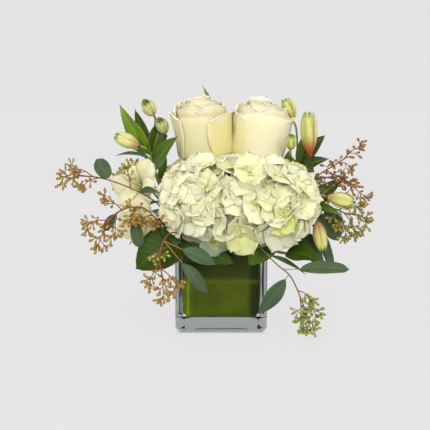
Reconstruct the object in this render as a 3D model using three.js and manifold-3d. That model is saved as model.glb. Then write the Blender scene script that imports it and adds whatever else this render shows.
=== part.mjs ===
// Floral table centerpiece: a heavy glass cube vase, lined with one broad leaf and part filled with water.
// It holds two hydrangea heads, two roses, alstroemeria, eucalyptus with seed capsules, and salal leaves.
// Millimetres, +Z up. The origin is the middle of the vase's underside, and the front faces -Y.

import * as THREE from 'three';
import { mergeVertices } from 'three/addons/utils/BufferGeometryUtils.js';
import Module from 'manifold-3d';

const wasm = await Module();
wasm.setup();

// Driving dimensions
const vaseSide = 100;
const vaseHeight = 100;
const vaseWall = 8.5;
const vaseBase = 17;
const vaseCorner = 10;
const vaseFootRound = 6;
const cavityCorner = 8;
const linerThick = 0.8;
const linerTop = 90;
const linerCorner = 14;
const linerBackGap = 14;
const waterTop = 60;
const touchGap = 0.3; // between pieces that touch
const footHeight = 18.8; // of the cut stem ends
const mouthHeight = 84; // where a stem's straight lower length ends
const footSpread = 0.72; // how near the middle a stem stands, as a share of its place in the mouth

const hydrangeaStem = 4.5; // stem radii
const roseStem = 3;
const alstroemeriaStem = 2.2;
const pedicelRadius = 1.2;
const woodyStem = 1.5;
const twigRadius = 1.1;

const leafThick = 1.5; // at the middle of a leaf, which thins out to its edges
const leafRoot = 0.9; // least half width of a leaf, so its root joins its stem
const petalThick = 1.6;
const rosePetalThick = 1.8;
const budTepalThick = 1.4;
const roseBase = 5;
const floretReach = 20;
const floretLobe = 0.28; // half angle of a lobe's square end
const floretNotch = 0.45; // how near the middle the notches reach, as a share of the lobes
const floretNotchDrop = 1.5;
const floretLift = 0.4; // of the lobes, above the dome
const floretEye = 0.6; // of the sunk middle, under the dome
const floretLevels = 3; // neighbouring florets lie at different depths, one step apart
const floretStep = 2.4;
const capsuleLength = 7;
const capsuleRadius = 2.3;
const goldenTurn = Math.PI * (3 - Math.sqrt(5));

const clear = { transparent: true, opacity: 0.4 };
const looks = {
  glass: new THREE.MeshStandardMaterial({ color: 0xadb5af, roughness: 0.05, ...clear }),
  water: new THREE.MeshStandardMaterial({ color: 0xc6cdb4, roughness: 0.02, ...clear }),
  liner: new THREE.MeshStandardMaterial({ color: 0x455507, roughness: 0.45 }),
  hydrangea: new THREE.MeshStandardMaterial({ color: 0xe7e4be, roughness: 0.75 }),
  rose: new THREE.MeshStandardMaterial({ color: 0xf2edc2, roughness: 0.65 }),
  tepal: new THREE.MeshStandardMaterial({ color: 0xe0deb6, roughness: 0.6 }),
  bud: new THREE.MeshStandardMaterial({ color: 0xd0d087, roughness: 0.55 }),
  stem: new THREE.MeshStandardMaterial({ color: 0x5f7d2a, roughness: 0.55 }),
  leafy: new THREE.MeshStandardMaterial({ color: 0x435803, roughness: 0.4 }),
  salal: new THREE.MeshStandardMaterial({ color: 0x38510a, roughness: 0.4 }),
  eucalyptus: new THREE.MeshStandardMaterial({ color: 0x5c744c, roughness: 0.7 }),
};

// Plain helpers

const vec = (x, y, z) => new THREE.Vector3(x, y, z);
const vecs = (list) => list.map(([x, y, z]) => vec(x, y, z));
const clamp = THREE.MathUtils.clamp;
const up = vec(0, 0, 1);

function seededRandom(seed) {
  let state = seed;
  return () => {
    state = (state * 1664525 + 1013904223) % 4294967296;
    return state / 4294967296;
  };
}

// The corners and triangles of a geometry, with shared corners merged and empty triangles dropped.
function trianglesOf(geometry) {
  const bare = geometry.clone();
  bare.deleteAttribute('normal');
  bare.deleteAttribute('uv');
  const merged = mergeVertices(bare, 1e-4);
  const index = merged.index.array;
  const faces = [];
  for (let i = 0; i < index.length; i += 3) {
    const [a, b, c] = [index[i], index[i + 1], index[i + 2]];
    if (a !== b && b !== c && c !== a) faces.push(a, b, c);
  }
  return { points: merged.attributes.position.array, faces };
}

function sixVolume(points, faces, first) {
  const corner = (i) => vec(points[3 * faces[i]], points[3 * faces[i] + 1], points[3 * faces[i] + 2]);
  return corner(first).dot(corner(first + 1).cross(corner(first + 2)));
}

function volumeOf(points, faces) {
  let total = 0;
  for (let i = 0; i < faces.length; i += 3) total += sixVolume(points, faces, i);
  return total / 6;
}

// A geometry as a solid for joining and cutting, with its faces turned to point out.
function toSolid(geometry) {
  const { points, faces } = trianglesOf(geometry);
  if (volumeOf(points, faces) < 0) faces.reverse();
  const mesh = new wasm.Mesh({ numProp: 3, vertProperties: points, triVerts: Uint32Array.from(faces) });
  return new wasm.Manifold(mesh);
}

// The largest closed skin of a solid: loose scraps and sealed hollows are left behind.
function mainSkin(points, faces) {
  const parent = Array.from({ length: points.length / 3 }, (_, i) => i);
  const root = (i) => {
    while (parent[i] !== i) {
      parent[i] = parent[parent[i]];
      i = parent[i];
    }
    return i;
  };
  for (let i = 0; i < faces.length; i += 3) {
    parent[root(faces[i])] = root(faces[i + 1]);
    parent[root(faces[i + 1])] = root(faces[i + 2]);
  }
  const volumes = new Map();
  for (let i = 0; i < faces.length; i += 3) {
    const skin = root(faces[i]);
    volumes.set(skin, (volumes.get(skin) ?? 0) + sixVolume(points, faces, i));
  }
  const [largest] = [...volumes.entries()].sort((a, b) => b[1] - a[1])[0];
  const kept = [];
  for (let i = 0; i < faces.length; i += 3) {
    if (root(faces[i]) === largest) kept.push(faces[i], faces[i + 1], faces[i + 2]);
  }
  return kept;
}

function toGeometry(solid) {
  const { vertProperties, triVerts } = solid.getMesh();
  const geometry = new THREE.BufferGeometry();
  geometry.setAttribute('position', new THREE.BufferAttribute(new Float32Array(vertProperties), 3));
  geometry.setIndex(mainSkin(vertProperties, triVerts));
  geometry.computeVertexNormals();
  return geometry;
}

function fuse(geometries) {
  const whole = geometries.map(toSolid).reduce((sum, next) => sum.add(next));
  return toGeometry(whole);
}

// Shapes that grow: tubes, blades, petals

function tube(path, radius, sides, steps) {
  const ring = new THREE.Shape();
  for (let i = 0; i < sides; i++) {
    const angle = (2 * Math.PI * i) / sides;
    const point = [radius * Math.cos(angle), radius * Math.sin(angle)];
    if (i === 0) ring.moveTo(...point);
    else ring.lineTo(...point);
  }
  return new THREE.ExtrudeGeometry(ring, { extrudePath: path, steps, bevelEnabled: false });
}

const smoothPath = (points) => new THREE.CatmullRomCurve3(points, false, 'centripetal');

// A thin closed body over a grid of points. Both faces are split alike. It is thick inside the grid and
// at its root row, and runs out to an edge along its sides and tip.
function blade(grid, thick) {
  const rows = grid.length;
  const cols = grid[0].length;
  const at = (i, j) => grid[clamp(i, 0, rows - 1)][clamp(j, 0, cols - 1)];
  const faces = { top: [], bottom: [] };
  for (let i = 0; i < rows; i++) {
    for (let j = 0; j < cols; j++) {
      const along = at(i + 1, j).clone().sub(at(i - 1, j));
      const across = at(i, j + 1).clone().sub(at(i, j - 1));
      const normal = along.cross(across).normalize();
      const rim = j === 0 || j === cols - 1 || i === rows - 1;
      const half = rim ? 0 : thick / 2;
      faces.top.push(grid[i][j].clone().addScaledVector(normal, half));
      faces.bottom.push(grid[i][j].clone().addScaledVector(normal, -half));
    }
  }
  const points = [...faces.top, ...faces.bottom];
  const below = rows * cols;
  const index = [];
  const quad = (a, b, c, d) => index.push(a, b, c, a, c, d);
  for (let i = 0; i < rows - 1; i++) {
    for (let j = 0; j < cols - 1; j++) {
      const [a, b] = [i * cols + j, i * cols + j + 1];
      const [c, d] = [b + cols, a + cols];
      quad(a, b, c, d);
      index.push(below + a, below + c, below + b, below + a, below + d, below + c);
    }
  }
  for (let j = 0; j < cols - 1; j++) quad(j + 1, j, below + j, below + j + 1);
  const geometry = new THREE.BufferGeometry().setFromPoints(points);
  geometry.setIndex(index);
  return geometry;
}

const outlines = {
  lance: (v) => Math.sin(Math.PI * v ** 0.75),
  oval: (v) => Math.sin(Math.PI * v ** 0.85) ** 0.8,
  heart: (v) => Math.sin(Math.PI * v ** 0.6) ** 0.75,
};

// A leaf from its root to its tip, with a middle line and two edges. `face` is where its upper side
// looks, `arch` how far its middle bows that way, and `cup` how far its edges lift.
function leaf({ root, tip, face, width, outline = 'lance', arch = 0, cup = 0.25, rows = 4 }) {
  const spine = tip.clone().sub(root);
  const side = spine.clone().cross(face).normalize();
  const top = side.clone().cross(spine).normalize();
  const grid = [];
  for (let i = 0; i < rows; i++) {
    const v = i / (rows - 1);
    const middle = root.clone().addScaledVector(spine, v).addScaledVector(top, arch * Math.sin(Math.PI * v));
    const half = i === rows - 1 ? 0 : Math.max(leafRoot, (width / 2) * outlines[outline](v));
    grid.push([-1, 0, 1].map((u) => {
      const point = middle.clone().addScaledVector(side, u * half);
      return point.addScaledVector(top, cup * half * Math.abs(u));
    }));
  }
  return blade(grid, leafThick);
}

// A petal on a surface of revolution round +Z. `curve(v)` gives its radius and height, and `spread(v)`
// its half angle. `tuck` puts one side edge inside its neighbour, and `crown` lowers its top corners.
function petal({ azimuth, curve, spread, tuck = 0, crown = 0, thick = petalThick, rows = 4, cols = 4 }) {
  const grid = [];
  for (let i = 0; i < rows; i++) {
    const v = i / (rows - 1);
    const [radius, height] = curve(v);
    grid.push([]);
    for (let j = 0; j < cols; j++) {
      const u = (2 * j) / (cols - 1) - 1;
      const angle = azimuth + u * spread(v);
      const out = Math.max(0.5, radius + tuck * u * v);
      grid[i].push(vec(out * Math.cos(angle), out * Math.sin(angle), height - crown * u * u * v * v));
    }
  }
  return blade(grid, thick);
}

function lathe(profile, sides) {
  const points = profile.map(([radius, height]) => new THREE.Vector2(radius, height));
  return new THREE.LatheGeometry(points, sides).rotateX(Math.PI / 2);
}

function placed(geometry, base, axis, spin = 0) {
  const turn = new THREE.Quaternion().setFromUnitVectors(up, axis.clone().normalize());
  return geometry.clone().rotateZ(spin).applyQuaternion(turn).translate(base.x, base.y, base.z);
}

// The scene graph

const centerpiece = new THREE.Group();
const groups = {};
for (const name of ['vessel', 'hydrangeas', 'roses', 'alstroemeria', 'eucalyptus', 'salal']) {
  groups[name] = new THREE.Group();
  centerpiece.add(groups[name]);
}

function addPiece(group, name, geometry, material) {
  const mesh = new THREE.Mesh(geometry, material);
  mesh.name = name;
  groups[group].add(mesh);
  return mesh;
}

// A bloom is modelled upright at its own base, then stood on its stem.
function addBloom(group, name, geometry, material, { base, axis, spin = 0 }) {
  const mesh = addPiece(group, name, geometry, material);
  mesh.position.copy(base);
  mesh.quaternion.setFromUnitVectors(up, axis.clone().normalize());
  mesh.quaternion.multiply(new THREE.Quaternion().setFromAxisAngle(up, spin));
  return mesh;
}

// Outer stems bend out over the rim: these are the half sizes of the squares that they cross.
const rimCrossings = [{ half: 35.5, height: 101 }, { half: 45.5, height: 110 }];

function overRim([mouthX, mouthY], route) {
  const reach = Math.max(Math.abs(mouthX), Math.abs(mouthY));
  const crossings = rimCrossings.map(({ half, height }) => {
    return [(mouthX * half) / reach, (mouthY * half) / reach, height];
  });
  return vecs([...crossings, ...route]);
}

const stemsInWater = [];

// A stem's path: straight from its foot in the water through the vase's mouth, then along `route`.
function rootedPath([mouthX, mouthY], radius, route) {
  const foot = vec(mouthX * footSpread, mouthY * footSpread, footHeight);
  const mouth = vec(mouthX, mouthY, mouthHeight);
  stemsInWater.push({ foot, mouth, radius });
  const straight = [0, 0.35, 0.75, 1].map((share) => foot.clone().lerp(mouth, share));
  return smoothPath([...straight, ...route]);
}

// The path of a stem that ends square under a bloom.
function pathToBloom(start, { base, axis }, approach = 10) {
  const aim = axis.clone().normalize();
  const end = base.clone().addScaledVector(aim, -touchGap);
  return [...start, end.clone().addScaledVector(aim, -approach), end];
}

// Vessel

function roundedSquare(side, corner) {
  const half = side / 2 - corner;
  const shape = new THREE.Shape();
  shape.absarc(half, half, corner, 0, Math.PI / 2);
  shape.absarc(-half, half, corner, Math.PI / 2, Math.PI);
  shape.absarc(-half, -half, corner, Math.PI, 1.5 * Math.PI);
  shape.absarc(half, -half, corner, 1.5 * Math.PI, 2 * Math.PI);
  return shape;
}

function prism(shape, bottom, top) {
  const settings = { depth: top - bottom, curveSegments: 3, bevelEnabled: false };
  return new THREE.ExtrudeGeometry(shape, settings).translate(0, 0, bottom);
}

const cavitySide = vaseSide - 2 * vaseWall;
const linerSide = cavitySide - 2 * touchGap;
const linerBottom = vaseBase + touchGap;

function addVase() {
  const bevel = { bevelThickness: vaseFootRound, bevelSize: vaseFootRound, bevelOffset: -vaseFootRound };
  const blank = new THREE.ExtrudeGeometry(roundedSquare(vaseSide, vaseCorner), {
    depth: vaseHeight, curveSegments: 3, bevelSegments: 2, ...bevel,
  }).translate(0, 0, vaseFootRound);
  const aboveRim = new THREE.BoxGeometry(2 * vaseSide, 2 * vaseSide, vaseSide);
  aboveRim.translate(0, 0, vaseHeight + vaseSide / 2);
  const cavity = prism(roundedSquare(cavitySide, cavityCorner), vaseBase, vaseHeight + 1);
  const glass = toSolid(blank).subtract(toSolid(aboveRim)).subtract(toSolid(cavity));
  addPiece('vessel', 'glass_vase', toGeometry(glass), looks.glass);
}

// The liner leaf goes once round the cavity, and its two ends stop short of each other at the back.
function addLiner() {
  const band = toSolid(prism(roundedSquare(linerSide, linerCorner), linerBottom, linerTop));
  const inside = roundedSquare(linerSide - 2 * linerThick, linerCorner - linerThick);
  const seam = new THREE.BoxGeometry(linerBackGap, linerSide / 2, 2 * vaseHeight);
  seam.translate(linerSide / 5, linerSide / 2, vaseHeight / 2);
  const hollow = toSolid(prism(inside, 0, 2 * vaseHeight));
  addPiece('vessel', 'liner_leaf', toGeometry(band.subtract(hollow).subtract(toSolid(seam))), looks.liner);
}

function addWater() {
  const side = linerSide - 2 * linerThick - 2 * touchGap;
  let water = toSolid(prism(roundedSquare(side, linerCorner - linerThick - touchGap), linerBottom, waterTop));
  const sides = 5;
  for (const { foot, mouth, radius } of stemsInWater) {
    const along = mouth.clone().sub(foot);
    const hole = new THREE.CylinderGeometry(1, 1, 2 * along.length(), sides).rotateX(Math.PI / 2);
    const wide = (radius + touchGap) / Math.cos(Math.PI / sides);
    water = water.subtract(toSolid(placed(hole.scale(wide, wide, 1), foot, along)));
  }
  addPiece('vessel', 'water', toGeometry(water), looks.water);
}

// Hydrangeas

// A floret drawn on the dome: four broad lobes with notches between them, over a root sunk in the core.
function floret({ way, dome, middle, root, spin }) {
  const spot = way.clone().multiply(dome).add(middle);
  const normal = way.clone().divide(dome).normalize();
  const side = normal.clone().cross(Math.abs(normal.z) < 0.9 ? up : vec(1, 0, 0)).normalize();
  const rise = normal.clone().cross(side);
  const lobes = [[0, -floretLobe], [0, floretLobe], [1, 0]];
  const points = [spot.clone().addScaledVector(normal, -floretEye), root];
  const index = [];
  const count = 4 * lobes.length;
  for (let i = 0; i < count; i++) {
    const [notch, offset] = lobes[i % lobes.length];
    const angle = spin + (Math.PI / 2) * (Math.floor(i / lobes.length) + notch / 2) + offset;
    const reach = notch ? floretNotch * floretReach : floretReach;
    const flat = spot.clone();
    flat.addScaledVector(side, reach * Math.cos(angle)).addScaledVector(rise, reach * Math.sin(angle));
    const onDome = flat.sub(middle).divide(dome).normalize().multiply(dome).add(middle);
    points.push(onDome.addScaledVector(normal, notch ? -floretNotchDrop : floretLift));
    const next = 2 + ((i + 1) % count);
    index.push(0, 2 + i, next, 1, next, 2 + i);
  }
  const star = new THREE.BufferGeometry().setFromPoints(points);
  star.setIndex(index);
  return star;
}

const coreInset = vec(10, 10, 15); // from the dome of florets in to the solid middle of the head
const coreRaise = vec(0, 0, 5);
const rootDepth = 0.9; // where a floret's root ends, as a share of the core

// A head above its own seat: `reach` is the half size of the dome of florets round `middle`, and `leftOff`
// says where florets are left off, over the vase's rim and against the stems in the middle.
function hydrangeaHead({ reach, middle, count, leftOff, seed }) {
  const random = seededRandom(seed);
  const core = reach.clone().sub(coreInset);
  const coreMiddle = middle.clone().add(coreRaise);
  const ball = new THREE.IcosahedronGeometry(1, 1).scale(core.x, core.y, core.z);
  const neck = smoothPath([vec(0, 0, 0), vec(0, 0, 6), middle]);
  const pieces = [ball.translate(...coreMiddle), tube(neck, hydrangeaStem + 1, 6, 3)];
  for (let i = 0; i < count; i++) {
    const height = 1 - (2 * (i + 0.5)) / count;
    const ring = Math.sqrt(1 - height * height);
    const way = vec(ring * Math.cos(i * goldenTurn), ring * Math.sin(i * goldenTurn), height);
    const dome = reach.clone().subScalar(floretStep * (i % floretLevels));
    const spin = random() * Math.PI;
    const spot = way.clone().multiply(reach).add(middle);
    const root = spot.clone().sub(coreMiddle).divide(core).normalize();
    root.multiply(core).multiplyScalar(rootDepth).add(coreMiddle);
    if (!leftOff(spot, way)) pieces.push(floret({ way, dome, middle, root, spin }));
  }
  return fuse(pieces);
}

const hydrangeas = [
  {
    name: 'hydrangea_front', mouth: [5, -20], route: [[8, -28, 98]],
    seat: { base: vec(9, -33, 110), axis: up },
    head: {
      reach: vec(81, 48, 56), middle: vec(8, -17, 37), count: 46, seed: 11,
      leftOff: (spot, way) => way.z < -0.72 || spot.y > 16 || (spot.z < 14 && spot.y > -34),
    },
  },
  {
    name: 'hydrangea_back', mouth: [3, 22], route: [[5, 30, 98]],
    seat: { base: vec(5, 34, 110), axis: up },
    head: {
      reach: vec(62, 42, 46), middle: vec(2, 26, 32), count: 30, seed: 23,
      leftOff: (spot, way) => way.z < -0.72 || spot.y < -4 || (spot.z < 14 && spot.y < 34),
    },
  },
];

function addHydrangea({ name, mouth, route, seat, head }) {
  const path = rootedPath(mouth, hydrangeaStem, pathToBloom(vecs(route), seat, 5));
  addPiece('hydrangeas', `${name}_stem`, fuse([tube(path, hydrangeaStem, 6, 9)]), looks.stem);
  addBloom('hydrangeas', `${name}_head`, hydrangeaHead(head), looks.hydrangea, seat);
}

// Roses

// Each ring of petals: how many, its widest radius, its height, how far its rim leans out (or in),
// and how wide each petal is in radians.
const roseRings = [
  { count: 3, radius: 17, height: 68, lean: -6, half: 1.05, turn: 0.3, rows: 3 },
  { count: 4, radius: 25, height: 68, lean: -2, half: 0.88, turn: 0, rows: 4 },
  { count: 5, radius: 30, height: 62, lean: 3, half: 0.76, turn: 0.7, rows: 4 },
];

const roseRoot = { radius: roseBase - 1, height: 4 }; // where the petals start, inside the core
const roseBelly = 0.4; // where a petal is first at its full width, as a share of its height
const roseRim = 0.6; // where its rim starts to lean

function rosePetalCurve({ radius, height, lean }) {
  return (v) => {
    const belly = Math.sin((Math.PI / 2) * Math.min(1, v / roseBelly));
    const rim = Math.max(0, (v - roseRim) / (1 - roseRim)) ** 2;
    const out = roseRoot.radius + (radius - roseRoot.radius) * belly + lean * rim;
    return [out, roseRoot.height + (height - roseRoot.height) * v - Math.max(0, lean) * rim];
  };
}

function roseBloom() {
  const core = [[0, 0], [roseBase, 0], [9, 8], [12, 22], [11, 48], [6, 59], [0, 61]];
  const pieces = [lathe(core, 8)];
  for (const ring of roseRings) {
    for (let i = 0; i < ring.count; i++) {
      pieces.push(petal({
        azimuth: ring.turn + (2 * Math.PI * i) / ring.count,
        curve: rosePetalCurve(ring),
        spread: (v) => ring.half * (0.5 + 0.5 * Math.sin(Math.PI * Math.min(1, v / 0.75) / 2)),
        tuck: 1.5, crown: 5, thick: rosePetalThick, rows: ring.rows,
      }));
    }
  }
  return fuse(pieces);
}

const roses = [
  {
    name: 'rose_left', mouth: [-12, 3], route: [[-14, 6, 120], [-16, 7, 150]],
    seat: { base: vec(-18.5, 4, 181), axis: vec(-0.08, -0.05, 1), spin: 0.3 },
  },
  {
    name: 'rose_right', mouth: [16, 2], route: [[22, 6, 120], [30, 8, 150]],
    seat: { base: vec(40, 6, 179), axis: vec(0.08, -0.04, 1), spin: 1.4 },
  },
];

const sepals = { count: 5, turn: 0.3, reach: 17, drop: 12, width: 6 };

function addRose({ name, mouth, route, seat }) {
  const path = rootedPath(mouth, roseStem, pathToBloom(vecs(route), seat));
  const aim = seat.axis.clone().normalize();
  const calyx = seat.base.clone().addScaledVector(aim, -touchGap);
  const hip = lathe([[0, -9], [roseStem, -9], [5, -5], [4.5, 0], [0, 0]], 6);
  const pieces = [tube(path, roseStem, 5, 8), placed(hip, calyx, aim)];
  for (let i = 0; i < sepals.count; i++) {
    const turn = (2 * Math.PI * i) / sepals.count + sepals.turn;
    const out = vec(Math.cos(turn), Math.sin(turn), 0);
    const root = calyx.clone().addScaledVector(aim, -4);
    const tip = root.clone().addScaledVector(out, sepals.reach).addScaledVector(aim, -sepals.drop);
    pieces.push(leaf({ root, tip, face: up, width: sepals.width, arch: 3, rows: 3 }));
  }
  addPiece('roses', `${name}_stem`, fuse(pieces), looks.stem);
  addBloom('roses', `${name}_bloom`, roseBloom(), looks.rose, seat);
}

// Alstroemeria

// A closed flower: three outer tepals held round a slim core, their tips just open.
function alstroemeriaBud(length, radius) {
  const belly = (v) => Math.sin(Math.PI * v ** 0.8) ** 0.8;
  const core = [[0, 0], [1.4, 0], [0.8 * radius, 0.35 * length], [0, 0.9 * length]];
  const pieces = [lathe(core, 5)];
  for (let i = 0; i < 3; i++) {
    pieces.push(petal({
      azimuth: (2 * Math.PI * i) / 3,
      curve: (v) => [0.9 + (radius - 0.9) * belly(v) + 0.12 * radius * v, 0.03 * length + 0.97 * length * v],
      spread: (v) => 0.98 * (1 - 0.75 * v ** 3),
      crown: 0.05 * length, thick: budTepalThick, cols: 3,
    }));
  }
  return fuse(pieces);
}

// An open flower: three broad outer tepals and three narrow inner ones that flare from a short funnel.
function alstroemeriaBloom(size) {
  const pieces = [lathe([[0, 0], [2, 0], [2.6, 10], [0, 16]], 5)];
  const rings = [
    { turn: 0, width: 0.62, reach: 1, rise: 0.7 },
    { turn: Math.PI / 3, width: 0.4, reach: 0.86, rise: 0.85 },
  ];
  const throat = 2.4;
  for (const { turn, width, reach, rise } of rings) {
    const halfWidth = (v) => width * size * (0.25 + 0.75 * Math.sin((Math.PI * Math.min(1, v / 0.75)) / 2));
    for (let i = 0; i < 3; i++) {
      pieces.push(petal({
        azimuth: turn + (2 * Math.PI * i) / 3,
        curve: (v) => {
          const out = throat + size * reach * (0.15 * v + 0.85 * v * v);
          return [out, 1 + size * rise * Math.sin(1.7 * v)];
        },
        spread: (v) => Math.min(1, halfWidth(v) / (throat + size * reach * v)),
        crown: 0.16 * size, cols: 3,
      }));
    }
  }
  return fuse(pieces);
}

const flower = (base, tip) => ({ base: vec(...base), axis: vec(...tip).sub(vec(...base)) });

const alstroemerias = [
  {
    name: 'alstroemeria_left', mouth: [-35, 6], route: [[-62, 8, 140], [-74, 4, 172], [-78, 2, 192]],
    leaves: [
      { at: 0.98, tip: [-111, 0, 244.5], width: 19, face: [-0.5, -0.8, 0.3], arch: 4 },
      { at: 0.99, tip: [-94, -6, 240], width: 14, face: [0.3, -0.9, 0.2], arch: -3 },
      { at: 0.98, tip: [-74, 14, 226], width: 20, face: [0.6, -0.7, 0.2], arch: 3 },
      { at: 0.9, tip: [-46, -38, 213], width: 24, face: [-0.2, -0.9, 0.5], arch: 3 },
      { at: 0.94, tip: [-116, -10, 189], width: 9, face: [0, -0.4, 0.9], arch: 6 },
      { at: 0.85, tip: [-106, 24, 196], width: 14, face: [-0.2, 0.2, 1], arch: 6 },
      { at: 0.82, tip: [-70, 46, 196], width: 15, face: [0.2, 0.7, 0.8], arch: 5 },
    ],
    buds: [
      { ...flower([-88, -12, 200], [-114, -18, 211]), length: 29, radius: 7 },
      { ...flower([-74, 2, 232], [-81, -17, 247]), length: 28, radius: 7 },
      { ...flower([-62, 13, 211], [-67, -8, 229]), length: 27, radius: 6.5 },
    ],
  },
  {
    name: 'alstroemeria_side', mouth: [-35, -7], route: [[-62, -4, 132]],
    leaves: [
      { at: 0.99, tip: [-84, 20, 128], width: 12, face: [0, 0.3, 1], arch: 5 },
      { at: 0.9, tip: [-92, 12, 100], width: 13, face: [-0.3, 0.2, 1], arch: 7 },
    ],
    blooms: [
      { ...flower([-84, 6, 152], [-92, -8, 156]), size: 27, spin: 0.5 },
      { ...flower([-82, -14, 121], [-88, -30, 118]), size: 24, spin: 1.1 },
    ],
  },
  {
    name: 'alstroemeria_right', mouth: [35, 6], route: [[66, 10, 140], [80, 6, 168], [86, 2, 180]],
    leaves: [
      { at: 0.98, tip: [116, 16, 209], width: 15, face: [-0.3, -0.9, 0.4], arch: 4 },
      { at: 0.9, tip: [118, -12, 186], width: 18, face: [-0.2, -0.7, 0.7], arch: 5 },
      { at: 0.95, tip: [100, -34, 174], width: 24, face: [-0.4, -0.5, 0.8], arch: 4 },
      { at: 0.86, tip: [108, 30, 190], width: 14, face: [-0.2, 0.2, 1], arch: 6 },
      { at: 0.84, tip: [80, 48, 190], width: 15, face: [0, 0.6, 0.8], arch: 5 },
      { at: 0.97, tip: [104, 16, 226], width: 12, face: [-0.6, -0.6, 0.4], arch: 3 },
    ],
    buds: [
      { ...flower([97, -8, 187], [94, -10, 237]), length: 50, radius: 8.5 },
      { ...flower([82, 36, 222], [71, 36, 248]), length: 28, radius: 7.5 },
      { ...flower([74, -32, 198], [74, -42, 214]), length: 20, radius: 5.5 },
    ],
  },
  {
    name: 'alstroemeria_low', mouth: [33, -18], route: [[78, -22, 118], [100, -30, 138]],
    leaves: [
      { at: 0.96, tip: [134, -18, 166], width: 13, face: [-0.3, -0.8, 0.6], arch: 4 },
      { at: 0.9, tip: [116, -14, 108], width: 13, face: [0.2, 0.3, 0.9], arch: 6 },
      { at: 0.98, tip: [128, -52, 130], width: 11, face: [-0.2, -0.6, 0.8], arch: 4 },
    ],
    buds: [
      { ...flower([112, -42, 149], [138, -46, 143]), length: 30, radius: 8 },
      { ...flower([102, -46, 124], [108, -52, 94]), length: 34, radius: 7.5 },
    ],
  },
  {
    name: 'alstroemeria_back', mouth: [3, 8], inner: true,
    route: [[4, 9, 120], [6, 9, 160], [10, 26, 190], [10, 36, 200]],
    leaves: [
      { at: 0.99, tip: [-22, 42, 258], width: 15, face: [-0.2, 0.8, 0.5], arch: 3 },
      { at: 0.98, tip: [52, 44, 250], width: 15, face: [0.2, 0.8, 0.5], arch: 3 },
      { at: 0.97, tip: [-46, 66, 186], width: 15, face: [0, -0.3, 1], arch: 6 },
      { at: 0.96, tip: [62, 64, 186], width: 15, face: [0, -0.3, 1], arch: 6 },
    ],
    blooms: [
      { ...flower([-8, 56, 208], [-22, 78, 222]), size: 23, spin: 0.2 },
      { ...flower([30, 56, 206], [42, 78, 220]), size: 23, spin: 0.9 },
    ],
  },
];

function addAlstroemeria({ name, mouth, route, inner, leaves, buds = [], blooms = [] }) {
  const path = rootedPath(mouth, alstroemeriaStem, inner ? vecs(route) : overRim(mouth, route));
  const pieces = [tube(path, alstroemeriaStem, 4, 10)];
  for (const { at, tip, face, ...form } of leaves) {
    pieces.push(leaf({ root: path.getPointAt(at), tip: vec(...tip), face: vec(...face), ...form }));
  }
  const end = path.getPointAt(0.985);
  for (const seat of [...buds, ...blooms]) {
    const pedicel = smoothPath(pathToBloom([end], seat, 6));
    pieces.push(tube(pedicel, pedicelRadius, 3, 3));
  }
  addPiece('alstroemeria', `${name}_stem`, fuse(pieces), looks.leafy);
  buds.forEach((seat, i) => {
    const bud = alstroemeriaBud(seat.length, seat.radius);
    addBloom('alstroemeria', `${name}_bud_${i + 1}`, bud, looks.bud, seat);
  });
  blooms.forEach((seat, i) => {
    addBloom('alstroemeria', `${name}_bloom_${i + 1}`, alstroemeriaBloom(seat.size), looks.tepal, seat);
  });
}

// Eucalyptus

// A seed capsule that grows from the origin along +Z: a slim stalk that widens to a ring, then a tip.
const capsule = () => lathe([[0, -0.4], [capsuleRadius, 0.7 * capsuleLength], [0, capsuleLength]], 4);

// Capsules stand round a twig by the golden angle, from `from` of its length out to its end.
function capsulesOn(path, count, from, turnStart) {
  const pieces = [];
  for (let i = 0; i < count; i++) {
    const share = from + ((1 - from) * (i + 0.5)) / count;
    const tangent = path.getTangentAt(share);
    const side = tangent.clone().cross(Math.abs(tangent.z) < 0.9 ? up : vec(1, 0, 0)).normalize();
    side.applyAxisAngle(tangent, turnStart + i * goldenTurn);
    pieces.push(placed(capsule(), path.getPointAt(share), side.addScaledVector(tangent, 0.7)));
  }
  return pieces;
}

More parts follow.
